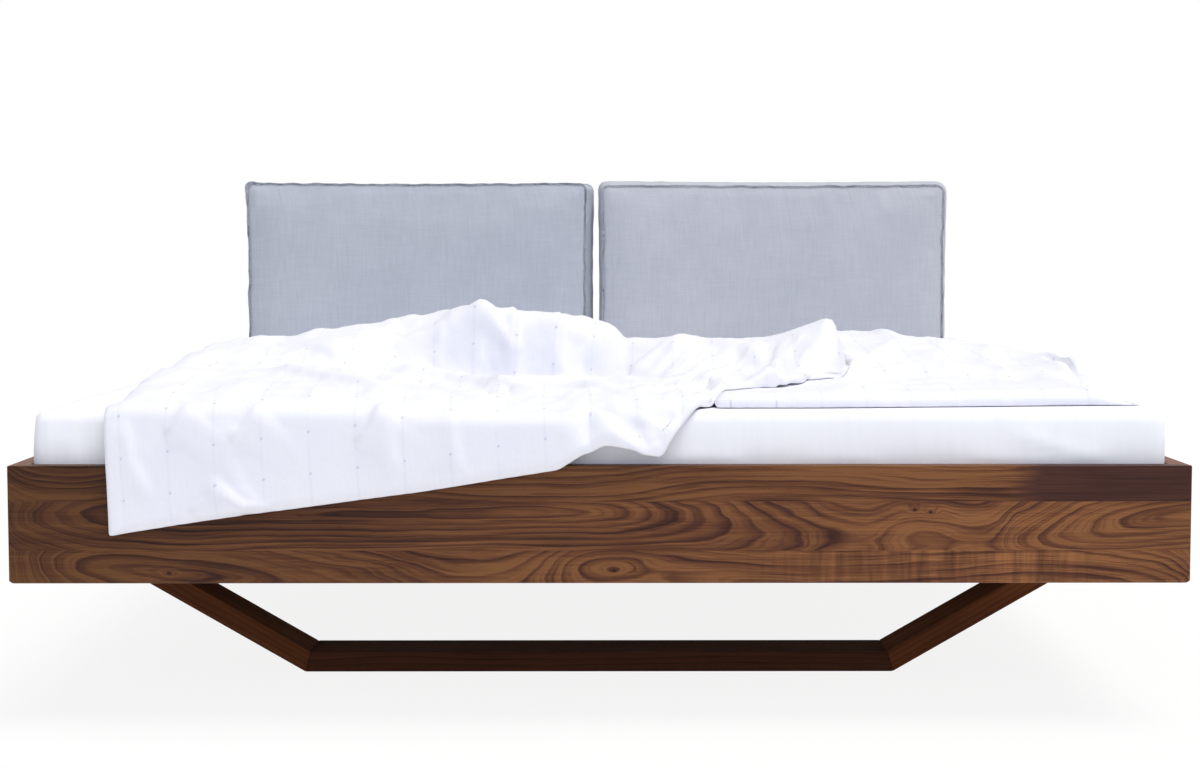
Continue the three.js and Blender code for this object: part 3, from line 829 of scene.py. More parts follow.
plies = 9
light_ply, dark_ply = colour(226, 199, 158), colour(152, 112, 72)
panel_low, panel_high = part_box("cushion_panel_left")
birch = Finish("birch_plywood")
grain = birch.streaks(birch.x * 1.2, birch.z * 16.0, 0.4, 4.0)
fibre = birch.streaks(birch.x * 9.0, birch.z * 420.0, 3.1)
figure = (grain * 38.0).to("SINE") * 0.10 + (fibre * 0.45 + 0.28)
veneer = birch.ramp(figure, [(0.30, light_ply), (0.75, colour(214, 183, 140))])
depth = (birch.y - panel_low.y) * (plies / (2 * (panel_high.y - panel_low.y)))
ply = birch.ramp(depth.to("FRACT"), [(0.0, 0.0), (0.5, 0.0), (0.52, 1.0), (0.98, 1.0)])
panel_birch = birch.skin(
    birch.blend(ply * 0.75, veneer, dark_ply), 0.72, 0.25, birch.bump(fibre, 0.12, 0.0003))
for label in ("left", "right"):
    finished("cushion_panel_" + label, panel_birch, 0.0008)
    seats = []
    for side in ("left", "right"):
        finished(f"cushion_bracket_{label}_{side}", black_coat, 0.0006)
        low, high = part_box(f"cushion_bracket_{label}_{side}")
        middle_x = (low.x + high.x) / 2
        bar_seats = [((middle_x + shift, low.y + 0.005, low.z + height), (0, 1, 0))
                     for height in (0.035, 0.090) for shift in (-0.010, 0.010)]
        screws(f"bar_screws_{label}_{side}", "frame", bar_seats)
        finished(f"cushion_socket_{label}_{side}", black_coat, 0.0005)
        low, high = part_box(f"cushion_socket_{label}_{side}")
        for edge_x in (low.x + 0.006, high.x - 0.006):
            for height in (low.z + 0.020, (low.z + high.z) / 2, high.z - 0.020):
                seats.append(((edge_x, low.y + 0.0020, height), (0, 1, 0)))
    screws("socket_screws_" + label, "cushion_" + label, seats, size=0.0036)

# ---------------------------------------------------------------- mattress
# A 180 mm foam mattress in a white fitted sheet. The sheet is drawn tight over the top edge and ripples
# a little down the sides. The long sides and the foot end bulge, and all edges are rounded.


def read_off(points, value):
    """The amount at value on a line through points (value, amount), level beyond its ends."""
    if value <= points[0][0]:
        return points[0][1]
    for (start, first), (end, second) in zip(points, points[1:]):
        if value <= end:
            return first + (second - first) * (value - start) / (end - start)
    return points[-1][1]


def ease(value):
    """From 0 to 1 with soft ends, as value goes from 0 to 1."""
    value = min(max(value, 0.0), 1.0)
    return value * value * (3 - 2 * value)


def fold(x, y, line, height, left, right, sharp):
    """A raised fold along a line of places: left and right are its widths on either side. It fades
    at both ends."""
    reach = 3 * max(left, right)
    if not (min(spot[0] for spot in line) - reach < x < max(spot[0] for spot in line) + reach
            and min(spot[1] for spot in line) - reach < y < max(spot[1] for spot in line) + reach):
        return 0.0
    best = None
    whole = sum(math.dist(first, second) for first, second in zip(line, line[1:]))
    gone = 0.0
    for first, second in zip(line, line[1:]):
        run_x, run_y = second[0] - first[0], second[1] - first[1]
        size = math.hypot(run_x, run_y)
        share = ((x - first[0]) * run_x + (y - first[1]) * run_y) / (size * size)
        share = min(max(share, 0.0), 1.0)
        away_x, away_y = x - first[0] - share * run_x, y - first[1] - share * run_y
        away = math.hypot(away_x, away_y)
        if best is None or away < best[0]:
            best = (away, run_x * away_y - run_y * away_x, (gone + share * size) / whole)
        gone += size
    away, side, share = best
    width = left if side > 0 else right
    if away > 3 * width:
        return 0.0
    return height * math.exp(-(away / width) ** sharp) * ease(share * 4) * ease((1 - share) * 4)


def folds(x, y, rows, crisp=1.0):
    """The height of all folds in a list at a place. Crisp below 1 narrows them."""
    return sum(fold(x, y, line, lift, crisp * left, crisp * right, sharp)
               for line, lift, left, right, sharp in rows)


sheet = Finish("sheet_jersey")
side = sheet.x + sheet.y
rib_pitch = 0.0011
drawn = sheet.streaks(side * 55.0, sheet.z * 7.0, 2.0, 4.0)
jersey = sheet.ramp(drawn * 0.5 + sheet.clouds(5.0) * 0.5, [
    (0.35, colour(244, 244, 251)), (0.65, colour(249, 249, 253))])
ribs = (side * (6.2832 / rib_pitch)).to("SINE")
creases = sheet.streaks(side * 26.0, sheet.z * 5.0, 4.0)
sheet_white = sheet.skin(jersey, 0.95, 0.08, sheet.bump(creases + ribs * 0.02, 0.10, 0.012), sheen=0.04)

low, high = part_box("mattress")
width, length, thick = high.x - low.x, high.y - low.y, high.z - low.z
mattress = slab_grid("mattress_and_sheet", width, length, thick, 0.01)
mesh = mattress.data
top_middle = Matrix.Translation((0, (low.y + high.y) / 2, high.z))
mesh.transform(top_middle @ Matrix.Rotation(math.radians(-90), 4, "X"))
edge_round, bulge = 0.013, 0.0085
# where the sheet puckers on the foot side: places across and up, height, two widths and sharpness
puckers = (
    ([(0.640, 0.472), (0.700, 0.458), (0.755, 0.440), (0.835, 0.424)], 0.0045, 0.012, 0.010, 1.2),
    ([(0.560, 0.430), (0.680, 0.428), (0.800, 0.420)], 0.0035, 0.012, 0.010, 1.2),
    ([(0.100, 0.430), (0.170, 0.432), (0.240, 0.425)], 0.0040, 0.010, 0.010, 1.2),
    ([(0.300, 0.426), (0.380, 0.430), (0.470, 0.425)], 0.0025, 0.012, 0.012, 1.2),
    ([(0.690, 0.500), (0.694, 0.450), (0.690, 0.400)], 0.0012, 0.010, 0.010, 1.2),
    ([(0.780, 0.500), (0.776, 0.450), (0.784, 0.400)], 0.0014, 0.010, 0.010, 1.2),
    ([(-0.860, 0.480), (-0.840, 0.440), (-0.835, 0.400)], 0.0035, 0.012, 0.012, 1.2),
)
for vertex in mesh.vertices:
    point = vertex.co
    # round the four upright corners
    point.x, point.y, outwards, reach = round_corner(point.x, point.y, low, high, edge_round)
    outwards = Vector((*outwards, 0))
    # then the long edges, top and bottom
    share_z = min(max((point.z - low.z) / thick, 0), 1)
    beside = max(0.0, edge_round - reach)
    upright = max(0.0, edge_round - min(high.z - point.z, point.z - low.z))
    if beside > 0 and upright > 0:
        scale = edge_round / math.hypot(beside, upright)
        point += outwards * (beside * scale - beside)
        point.z += (upright * scale - upright) * (1 if share_z > 0.5 else -1)
    if reach < 1e-5:
        slack = 0.0012 * waver(point.x * 7, point.y * 7, share_z * 1.5)
        slack += 0.0010 * waver(point.x * 30, point.y * 30, share_z * 2.2 + 5)
        if outwards.y < -0.9:
            slack += folds(point.x, point.z, puckers)
        # the head end stays flat, so that the mattress lifts out past the cushions
        full = (bulge if outwards.y < 0.5 else 0.0) + slack
        point += outwards * full * max(0.0, math.sin(math.pi * share_z)) ** 0.5
smooth(mesh)
mesh.materials.append(sheet_white)
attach(mattress, "mattress")
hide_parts("mattress")

# ---------------------------------------------------------------- right duvet
# A duvet in white striped percale, lying flat on the right half of the bed. Its front part is a single
# layer, and from the middle of the bed on it lies double, with one front corner turned up.


def weave_map(made, across_along):
    """The cloth's own map, in metres: across the stripes and along them."""
    layer = made.data.uv_layers.new(name="weave")
    for loop in made.data.loops:
        layer.data[loop.index].uv = across_along[loop.vertex_index]


def weave_places(mesh):
    """Each vertex's place on the cloth, from the weave map."""
    layer = mesh.uv_layers["weave"].data
    places = [None] * len(mesh.vertices)
    for loop in mesh.loops:
        places[loop.vertex_index] = layer[loop.index].uv.copy()
    return places


# Noise vectors are offset by this seed, and without it every run would crumple the cloth in its own way.
noise.seed_set(1)


def crumple(place, size, seed):
    """How crumpled cloth rises at a place on it: hollows that meet in sharp, crooked ridges, from -0.5 to
    1. The hollows are longer along the stripes than across them."""
    spot = Vector((place.x / size, place.y / (size * 1.3), seed))
    spot += noise.noise_vector(spot * 0.8) * 0.45
    near = noise.voronoi(spot)[0]
    return near[0] * near[0] * 2.0 - 0.5 + 0.35 * (near[1] - near[0])


# White percale with a thin woven stripe every 74 mm, small woven dots on it and fine ribs between.
stripe_pitch, dot_pitch, rib_pitch = 0.0738, 0.066, 0.0092
percale = Finish("striped_percale")
cloth_x, cloth_y = percale.split(percale.get("UVMap", out="UV", uv_map="weave"))[:2]
across = (cloth_x + 0.7480).to("PINGPONG", stripe_pitch / 2)
along = (cloth_y + 0.013).to("PINGPONG", dot_pitch / 2)
stripe = percale.ramp(across / 0.01, [(0.06, 1.0), (0.16, 0.35), (0.60, 0.0)])
from_dot = (across * across + along * along).to("SQRT")
dot = percale.ramp(from_dot / 0.01, [(0.10, 1.0), (0.30, 0.0)])
wobble = percale.streaks(cloth_x * 60.0, cloth_y * 16.0, 0.5)
ribs = (cloth_x * (6.2832 / rib_pitch)).to("SINE")
shown = percale.ramp(ribs * (wobble * 0.09) + percale.clouds(7.0, 4.0), [
    (0.30, colour(238, 238, 247)), (0.68, colour(241, 241, 248))])
threads = stripe * percale.ramp(wobble, [(0.35, 0.25), (0.62, 1.0)])
shown = percale.blend(threads, shown, colour(234, 235, 245))
shown = percale.blend(dot * 0.85, shown, colour(206, 206, 228))
creases = abs(percale.clouds(13.0, 2.0, 0.5) - 0.5) + abs(percale.clouds(36.0, 3.0, 0.5) - 0.5) * 0.40
crinkled = percale.bump(creases, 0.14, 0.02)
duvet_cover = percale.skin(
    shown, 0.9, 0.12, percale.bump(stripe, 0.3, 0.0006, Normal=crinkled), sheen=0.04)

bed_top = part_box("mattress")[1].z
duvet_low, duvet_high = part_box("duvet_right")
right_ridge = [(0.40, 0.560), (0.47, 0.594), (0.56, 0.5915), (0.62, 0.5872), (0.68, 0.579), (0.727, 0.5727),
               (0.80, 0.566), (0.875, 0.556)]
right_roll = [(-0.62, 0.0), (-0.585, 0.007), (-0.560, 0.015), (-0.534, 0.021), (-0.470, 0.016),
              (-0.290, 0.006), (-0.16, 0.0)]
right_folds = (
    ([(0.866, -0.28), (0.876, -0.50), (0.880, -0.62)], 0.007, 0.055, 0.030, 1.6),
    ([(0.30, -0.93), (0.48, -0.90), (0.66, -0.90), (0.80, -0.86)], 0.007, 0.014, 0.030, 1.2),
    ([(0.44, -0.72), (0.52, -0.64), (0.66, -0.62), (0.76, -0.68)], 0.014, 0.030, 0.050, 1.3),
    ([(0.60, -0.58), (0.66, -0.38), (0.69, -0.15)], 0.013, 0.024, 0.040, 1.2),
    ([(0.50, -0.52), (0.58, -0.30), (0.57, -0.06)], 0.013, 0.020, 0.028, 1.2),
    ([(0.70, -0.62), (0.75, -0.35), (0.80, -0.10)], 0.011, 0.020, 0.028, 1.2),
    ([(0.42, -0.86), (0.55, -0.80), (0.70, -0.80)], 0.006, 0.014, 0.020, 1.2),
)


def right_front(x):
    """Where the duvet's front edge lies along the bed: it runs back towards the right."""
    return duvet_low.y + 0.006 + 0.062 * max(0.0, (x - 0.25) / 0.62) ** 1.2


def right_side(y):
    """Where its left edge lies across the bed: the front end is drawn in."""
    return duvet_low.x + 0.003 + 0.078 * ease((-0.74 - y) / 0.16)


def right_top(x, y):
    """How high the duvet's top lies above the floor, at a place on the bed."""
    single = bed_top + 0.0255
    double = read_off(right_ridge, x)
    double -= 0.10 * max(0.0, y + 0.05) ** 1.1
    double -= 0.035 * ease((-0.05 - y) / 0.60) * (1 - 0.6 * ease((x - 0.77) / 0.08))
    step = ease((y + 0.72) / 0.16) * ease((x - 0.405) / 0.06)
    height = single + (max(double, single + 0.01) - single) * step
    height += folds(x, y, right_folds) + read_off(right_roll, y) * math.exp(-((x - 0.884) / 0.034) ** 2)
    return height + 0.0016 * waver(x * 9, y * 9, 4.0)


side_x, end_y = duvet_low.x + 0.003, duvet_high.y - 0.004
width, length = duvet_high.x - duvet_low.x - 0.003, duvet_high.y - duvet_low.y
layer, underside = 0.04, bed_top + 0.0012
duvet = slab_grid("duvet_and_cover_right", width, length, layer, 0.0125)
mesh = duvet.data
mesh.transform(Matrix.Rotation(math.radians(-90), 4, "X"))
holds = []
woven = []
for vertex in mesh.vertices:
    point = vertex.co
    share_x, share_y, up = point.x / width + 0.5, point.y / length + 0.5, 1 + point.z / layer
    front = right_front(side_x + share_x * width)
    y = front + share_y * (end_y - front)
    left_end = right_side(y)
    x = left_end + share_x * (side_x + width - left_end)
    reach = min(x - left_end, side_x + width - x, y - front, end_y - y)
    round_off = 1 - min(1.0, reach / 0.018)
    thick = right_top(x, y) - underside
    thick *= 0.60 + 0.40 * math.sqrt(max(0.0, 1 - round_off * round_off))
    # the turned corner lies thin over its own tuck
    thick *= 1 - 0.88 * ease((-0.59 - y) / 0.12) * ease((x - 0.805) / 0.075)
    wave = 0.004 * waver(x * 5, y * 5, 2.0) if reach < 0.03 and share_y < 0.5 else 0
    point.x, point.y, point.z = x, y + wave, underside + thick * up
    if reach < 1e-4:
        belly = 0.004 * math.sin(math.pi * up)
        point.x += belly * (1 if share_x > 0.999 else -1 if share_x < 0.001 else 0)
        point.y += belly * (1 if share_y > 0.999 else -1 if share_y < 0.001 else 0)
    holds.append(1.0 if up < 0.01 else 0.42)
    woven.append((x, y))
weave_map(duvet, woven)
settle(duvet, holds, 14, cap=0.012, slack=0.022, stiff=18.0, bend=0.12, pull=6.0)
mesh = keep_finer(duvet)
right_tuck = [(0.853, -0.354), (0.8597, -0.484), (0.861, -0.634), (0.8637, -0.674), (0.8595, -0.754)]
right_creases = (
    (right_tuck, -0.014, 0.0065, 0.0065, 1.6),
    ([(0.68, -0.80), (0.72, -0.62), (0.74, -0.50)], 0.005, 0.010, 0.016, 1.1),
    ([(0.55, -0.86), (0.60, -0.72), (0.63, -0.58)], 0.004, 0.010, 0.016, 1.1),
    ([(0.46, -0.84), (0.60, -0.80), (0.74, -0.83)], 0.005, 0.010, 0.018, 1.1),
    ([(0.38, -0.90), (0.52, -0.87), (0.66, -0.885)], 0.005, 0.008, 0.016, 1.1),
)
bed_skin = bed_top + 0.0008
facings = [vertex.normal.copy() for vertex in mesh.vertices]
for vertex, facing, place in zip(mesh.vertices, facings, weave_places(mesh)):
    point = vertex.co
    if facing.z > 0.3 and -0.76 < point.y < -0.35:
        # the tuck is a sharp line, so the nearest row of vertices moves onto it
        tuck_x = read_off([(y, x) for x, y in reversed(right_tuck)], point.y)
        if abs(point.x - tuck_x) < 0.0033:
            point.x = tuck_x
    if facing.z > -0.3:
        raised = 0.0040 * crumple(place, 0.10, 5.0) + 0.0034 * crumple(place, 0.046, 9.0)
        raised *= 0.5 if point.y < -0.80 else 1.0
        if facing.z > 0.3:
            raised += folds(point.x, point.y, right_creases)
        point += facing * raised
    else:
        point.z += 0.0012 * max(0.0, waver(point.x * 70, point.y * 20, 6.0))
    above = point.z - bed_skin
    if facing.z < 0.6 and above < 0.009:
        point.z = bed_skin + max(0.0, above) ** 2 / 0.009
    point.z = max(point.z, bed_skin)
right_surface = BVHTree.FromPolygons([vertex.co for vertex in mesh.vertices],
                                     [face.vertices[:] for face in mesh.polygons])
smooth(mesh)
mesh.materials.append(duvet_cover)
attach(duvet, "duvet_right")
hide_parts("duvet_right")

# ---------------------------------------------------------------- left duvet
# The second duvet, in the same percale. Someone has pushed it back into a heap at half length, and its
# foot end is drawn over the foot board, where it hangs with a sloping hem and a loose corner.

drape_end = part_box("duvet_left")[1].y
cloth_half = 0.0055
hang_y = foot_face - 0.0105
bed_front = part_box("mattress")[0].y - 0.004
# Where the run up over the foot board ends and the bed begins, and where the hem ends across.
landing, hem_end = -0.985, 0.147
hem_line = [(-0.79, 0.3105), (-0.594, 0.3385), (-0.284, 0.3800), (-0.0661, 0.4149), (-0.030, 0.4370),
            (0.0078, 0.4530), (0.0481, 0.4442), (0.0990, 0.4355), (0.1093, 0.4573), (0.1222, 0.4718),
            (0.1431, 0.4970), (0.147, 0.5010)]
edge_line = [(0.147, -1.046), (0.157, -1.030), (0.183, -0.985), (0.2067, -0.955), (0.2498, -0.914),
             (0.3063, -0.876), (0.364, -0.788), (0.400, -0.740), (0.438, -0.660), (0.450, -0.620)]
shoulder_line = [(-0.79, 0.509), (-0.5255, 0.508), (-0.414, 0.505), (-0.326, 0.5025), (-0.25, 0.497),
                 (-0.168, 0.492), (-0.057, 0.493), (0.0, 0.498), (0.06, 0.505), (0.147, 0.512)]
crest_line = [(-0.80, 0.560), (-0.75, 0.580), (-0.653, 0.598), (-0.585, 0.598), (-0.490, 0.6150),
              (-0.332, 0.6340), (-0.217, 0.6620), (-0.199, 0.6505), (-0.160, 0.6500), (-0.080, 0.6380),
              (-0.065, 0.6395), (-0.006, 0.6259), (0.026, 0.6166), (0.052, 0.5943), (0.095, 0.5906),
              (0.186, 0.5924), (0.256, 0.5915), (0.305, 0.5943), (0.336, 0.6020), (0.414, 0.6310),
              (0.434, 0.6390), (0.452, 0.6330)]
brow_line = [(-0.45, 0.020), (-0.3757, 0.034), (-0.2928, 0.026), (-0.2743, 0.011), (-0.235, 0.003),
             (-0.170, 0.004), (-0.150, 0.010), (-0.090, 0.012), (-0.045, 0.028), (0.0, 0.022), (0.03, 0.012),
             (0.06, 0.0)]
front_rise = [(-0.79, 0.075), (-0.50, 0.062), (-0.33, 0.020), (-0.20, -0.004), (0.0, 0.004), (0.10, 0.03),
              (0.30, 0.02), (0.45, 0.02)]
front_level = [(-0.79, 0.532), (-0.50, 0.530), (-0.32, 0.524), (-0.20, 0.518), (0.0, 0.519), (0.15, 0.520),
               (0.25, 0.532), (0.45, 0.540)]
face_depth = [(-0.79, 0.30), (-0.50, 0.20), (-0.42, 0.10), (-0.385, 0.040), (-0.29, 0.042), (-0.24, 0.050),
              (-0.03, 0.052), (0.06, 0.12),
              (0.16, 0.24), (0.38, 0.22), (0.42, 0.18), (0.45, 0.12)]
crest_place = [(-0.79, -0.50), (0.25, -0.50), (0.33, -0.56), (0.45, -0.58)]
left_folds = (
    ([(-0.62, -0.50), (-0.46, -0.62), (-0.369, -0.640), (-0.2532, -0.707), (-0.168, -0.800),
      (-0.080, -0.985)], 0.016, 0.050, 0.024, 1.4),
    ([(-0.60, -0.70), (-0.451, -0.874), (-0.330, -1.020), (-0.260, -1.060)], 0.015, 0.040, 0.026, 1.4),
    ([(0.11, -0.58), (0.165, -0.48), (0.20, -0.40)], 0.010, 0.020, 0.025, 1.3),
    ([(0.00, -0.87), (0.12, -0.84), (0.20, -0.76), (0.26, -0.66)], 0.013, 0.020, 0.028, 1.3),
    ([(-0.14, -0.78), (-0.02, -0.86), (0.03, -0.98)], 0.010, 0.030, 0.020, 1.3),
    ([(0.03, -1.00), (0.10, -0.92), (0.16, -0.84)], 0.009, 0.020, 0.020, 1.3),
    ([(0.20, -0.52), (0.27, -0.60), (0.29, -0.70)], 0.010, 0.020, 0.020, 1.3),
    ([(-0.70, -0.96), (-0.72, -0.70), (-0.68, -0.52)], 0.010, 0.035, 0.030, 1.4),
    ([(-0.45, -0.40), (-0.20, -0.10), (-0.10, 0.30)], 0.016, 0.040, 0.050, 1.4),
    ([(0.02, -0.38), (0.10, 0.00), (0.00, 0.42)], 0.014, 0.050, 0.040, 1.4),
    ([(-0.66, -0.30), (-0.55, 0.10), (-0.62, 0.45)], 0.014, 0.040, 0.050, 1.4),
    ([(0.34, -0.36), (0.36, -0.20), (0.30, 0.30)], 0.010, 0.040, 0.030, 1.4),
)
# Crisp creases, pressed in after the cloth has settled: places across and up on the heap's front face,
# places on the bed for the flat part, and places across and up on the hanging part.
face_creases = (
    ([(-0.2330, 0.672), (-0.2007, 0.6328), (-0.1731, 0.6013), (-0.1602, 0.5735), (-0.1639, 0.515)],
     0.013, 0.010, 0.040, 1.1),
    ([(-0.1640, 0.655), (-0.1584, 0.605), (-0.1528, 0.560)], 0.010, 0.008, 0.010, 1.1),
    ([(-0.0880, 0.660), (-0.0755, 0.605), (-0.0773, 0.5735), (-0.0663, 0.512)], 0.012, 0.009, 0.040, 1.1),
    ([(-0.2928, 0.650), (-0.290, 0.600), (-0.300, 0.530)], 0.004, 0.008, 0.020, 1.1),
    ([(-0.2230, 0.600), (-0.2200, 0.560), (-0.2260, 0.510)], 0.004, 0.007, 0.016, 1.1),
    ([(-0.080, 0.634), (-0.050, 0.604), (-0.020, 0.594)], 0.007, 0.008, 0.008, 1.1),
)
flat_creases = (
    ([(-0.62, -0.52), (-0.46, -0.64), (-0.369, -0.660), (-0.2532, -0.727), (-0.168, -0.820),
      (-0.085, -0.99)], 0.006, 0.014, 0.007, 1.1),
    ([(-0.60, -0.72), (-0.451, -0.890), (-0.330, -1.034), (-0.260, -1.070)], 0.006, 0.014, 0.007, 1.1),
    ([(-0.410, -0.64), (-0.385, -0.76), (-0.36, -0.84)], -0.006, 0.008, 0.008, 1.1),
    ([(-0.30, -0.74), (-0.285, -0.86)], -0.005, 0.008, 0.008, 1.1),
    ([(-0.19, -0.84), (-0.185, -0.96)], -0.006, 0.008, 0.008, 1.1),
    ([(-0.155, -0.86), (-0.145, -0.98)], -0.006, 0.007, 0.007, 1.1),
    ([(0.03, -0.62), (0.12, -0.56), (0.20, -0.60)], 0.006, 0.010, 0.012, 1.1),
    ([(-0.06, -0.80), (0.02, -0.90), (0.10, -0.98)], 0.006, 0.009, 0.014, 1.1),
    ([(0.16, -0.90), (0.24, -0.78), (0.27, -0.66)], 0.006, 0.008, 0.012, 1.1),
    ([(0.30, -0.80), (0.31, -0.70), (0.335, -0.60)], 0.006, 0.008, 0.012, 1.1),
)
hanging_creases = (
    ([(-0.580, 0.460), (-0.556, 0.488), (-0.530, 0.516)], 0.0080, 0.006, 0.045, 1.1),
    ([(-0.683, 0.466), (-0.664, 0.490), (-0.640, 0.518)], 0.0075, 0.006, 0.045, 1.1),
    ([(-0.386, 0.456), (-0.360, 0.484), (-0.334, 0.516)], 0.0080, 0.006, 0.045, 1.1),
    ([(-0.336, 0.525), (-0.332, 0.470), (-0.324, 0.405)], 0.0060, 0.005, 0.045, 1.1),
    ([(-0.615, 0.412), (-0.585, 0.374), (-0.545, 0.344)], 0.0065, 0.006, 0.040, 1.1),
    ([(-0.600, 0.392), (-0.565, 0.364), (-0.510, 0.352)], 0.0050, 0.006, 0.030, 1.1),
    ([(-0.5694, 0.500), (-0.582, 0.436), (-0.565, 0.388), (-0.530, 0.356)], 0.0060, 0.007, 0.050, 1.2),
    ([(-0.748, 0.500), (-0.738, 0.430), (-0.705, 0.365)], 0.0055, 0.007, 0.040, 1.2),
    ([(-0.238, 0.516), (-0.230, 0.465), (-0.219, 0.405)], 0.0060, 0.005, 0.045, 1.1),
    ([(-0.648, 0.346), (-0.612, 0.372), (-0.598, 0.398)], 0.0040, 0.006, 0.030, 1.2),
    ([(-0.060, 0.530), (-0.012, 0.500), (0.030, 0.458), (0.097, 0.425)], 0.0120, 0.012, 0.030, 1.2),
    ([(0.030, 0.512), (0.080, 0.482), (0.130, 0.462)], 0.0060, 0.008, 0.020, 1.2),
    ([(0.098, 0.524), (0.1082, 0.4978), (0.1122, 0.474)], -0.0050, 0.008, 0.008, 1.2),
    ([(0.060, 0.500), (0.074, 0.478), (0.080, 0.452)], 0.0050, 0.008, 0.012, 1.2),
)


def left_top(x, y):
    """How high the duvet's middle lies above the floor, at a place on the bed."""
    crest, depth, ridge_y = read_off(crest_line, x), read_off(face_depth, x), read_off(crest_place, x)
    low_level = read_off(front_level, x) + read_off(front_rise, x) * (min(y, ridge_y) + 1.0)
    brow = read_off(brow_line, x)
    if y < ridge_y:
        height = low_level + (crest - brow - low_level) * ease((y - ridge_y + depth) / depth)
    else:
        # behind its crest the heap falls as the line from a viewer's eye over the crest does
        sight = (eye.location.z - crest) / (ridge_y - eye.location.y)
        back = y - ridge_y
        height = eye.location.z - sight * (y - eye.location.y) - brow * (1 - ease(back / 0.09))
        past = max(0.0, back - 0.09 * min(1.0, brow / 0.02))
        height -= 0.014 * ease(past / 0.08) + 0.085 * past
    height += folds(x, y, left_folds) + 0.003 * waver(x * 6, y * 6, 1.0)
    on_right = ease((x - right_side(y) + 0.02) / 0.03) * ease((y - right_front(x) + 0.02) / 0.03)
    under = bed_top + (right_top(x, y) - bed_top) * on_right + cloth_half + 0.0025
    side = ease((x + 0.787) / 0.05) ** 0.7
    end = ease((drape_end - 0.004 - y) / 0.07) ** 0.7
    over = 0.35 + 0.65 * min(1.0, max(0.0, (0.452 - x) / 0.032))
    if x > 0.16:
        over = min(over, ease((y - read_off(edge_line, x)) / 0.05) ** 0.7)
    return max(under + (height - under) * min(side, end, over), under)


def left_line(x):
    """Points of the duvet's middle at x, from the hem up over the foot board and back over the bed."""
    hem, shoulder, behind = read_off(hem_line, x), read_off(shoulder_line, x), left_top(x, landing)
    slope = ease((x + 0.058) / 0.040)
    drop = behind - hem
    front_y = hang_y + 0.036 * ease((x - 0.100) / 0.047)
    run = (landing - front_y) / (landing - hang_y)
    corners = [
        (front_y, 0.29),
        (front_y, shoulder - 0.006 + slope * (hem + 0.009 - shoulder)),
        (front_y + (0.003 + 0.022 * slope) * run, shoulder + slope * (hem + 0.58 * drop - shoulder)),
        (front_y + (0.016 + 0.026 * slope) * run,
         shoulder + 0.007 + slope * (hem + 0.85 * drop - shoulder - 0.007)),
        (front_y + (0.050 + 0.030 * slope) * run, behind - (1 - slope) * 0.4 * (behind - shoulder)),
        (landing, behind)]
    line = []
    for (first_y, first_z), (second_y, second_z) in zip(corners, corners[1:]):
        for share in [step / 20 for step in range(20)]:
            line.append((first_y + (second_y - first_y) * share, first_z + (second_z - first_z) * share))
    y = landing
    while y < drape_end - 0.006:
        line.append((y, left_top(x, y)))
        y += 0.008
    if x < hem_end:
        first = next(step for step, spot in enumerate(line) if spot[1] > hem)
        return [(line[first][0], hem)] + line[first:]
    return [spot for spot in line if spot[0] > read_off(edge_line, x)]


columns, rows = 106, 148
left_start, left_width = -0.785, 1.233
lines = []
for column in range(columns + 1):
    x = left_start + left_width * column / columns
    spots = left_line(x)
    gone = [0.0]
    for first, second in zip(spots, spots[1:]):
        gone.append(gone[-1] + math.dist(first, second))
    lines.append((x, gone[-1], [(far, spot[0]) for far, spot in zip(gone, spots)],
                  [(far, spot[1]) for far, spot in zip(gone, spots)]))
shape = bmesh.new()
bmesh.ops.create_grid(shape, x_segments=columns, y_segments=rows, size=0.5)
woven = []
for vertex in shape.verts:
    x, whole, line_y, line_z = lines[round((vertex.co.x + 0.5) * columns)]
    share = round((vertex.co.y + 0.5) * rows) / rows
    travel = (0.45 * share + 0.55 * share * share) * whole
    y, z = read_off(line_y, travel), read_off(line_z, travel)
    from_hem = travel + 0.5 * max(0.0, x)
    lean = 0.045 * min(from_hem, 0.25) - 0.03 * max(0.0, from_hem - 0.25)
    if y < -1.02:
        # the hanging part swings out a little, most of all at its left end
        hang = ease((0.53 - z) / 0.05)
        y -= hang * (0.0030 + 0.004 * waver(x * 5, z * 4, 8.0))
        y -= hang * 0.007 * ease((-0.757 - x) / 0.022)
        x += 0.006 * ease((0.50 - z) / 0.20) * ease((-0.60 - x) / 0.18)
    x += 0.006 * ease((-0.60 - x) / 0.18) * ease((-0.85 - y) / 0.15)
    vertex.co = Vector((x, y, z))
    woven.append((x + lean, from_hem))
inside = [vertex for vertex in shape.verts if not vertex.is_boundary]
bmesh.ops.smooth_vert(shape, verts=inside, factor=0.1, use_axis_x=True, use_axis_y=True, use_axis_z=True)
shape.normal_update()
if sum(face.normal.z for face in shape.faces) < 0:
    bmesh.ops.reverse_faces(shape, faces=shape.faces)
drape = stand(shape, "duvet_and_cover_left")
weave_map(drape, woven)
holds = [0.75 if vertex.co.y < -1.0 else 0.45 for vertex in drape.data.vertices]
settle(drape, holds, 16, cap=0.016, slack=0.030, stiff=18.0, bend=0.12, pull=6.0)
mesh = keep_finer(drape)
openings = [(0.2498, 0.0), (0.2600, 0.006), (0.2864, 0.022), (0.2960, 0.011), (0.3063, 0.002),
            (0.330, 0.004), (0.364, 0.0)]
crisp, hanging_lift, face_lift = 0.8, 1.35, 1.45
facings = [vertex.normal.copy() for vertex in mesh.vertices]
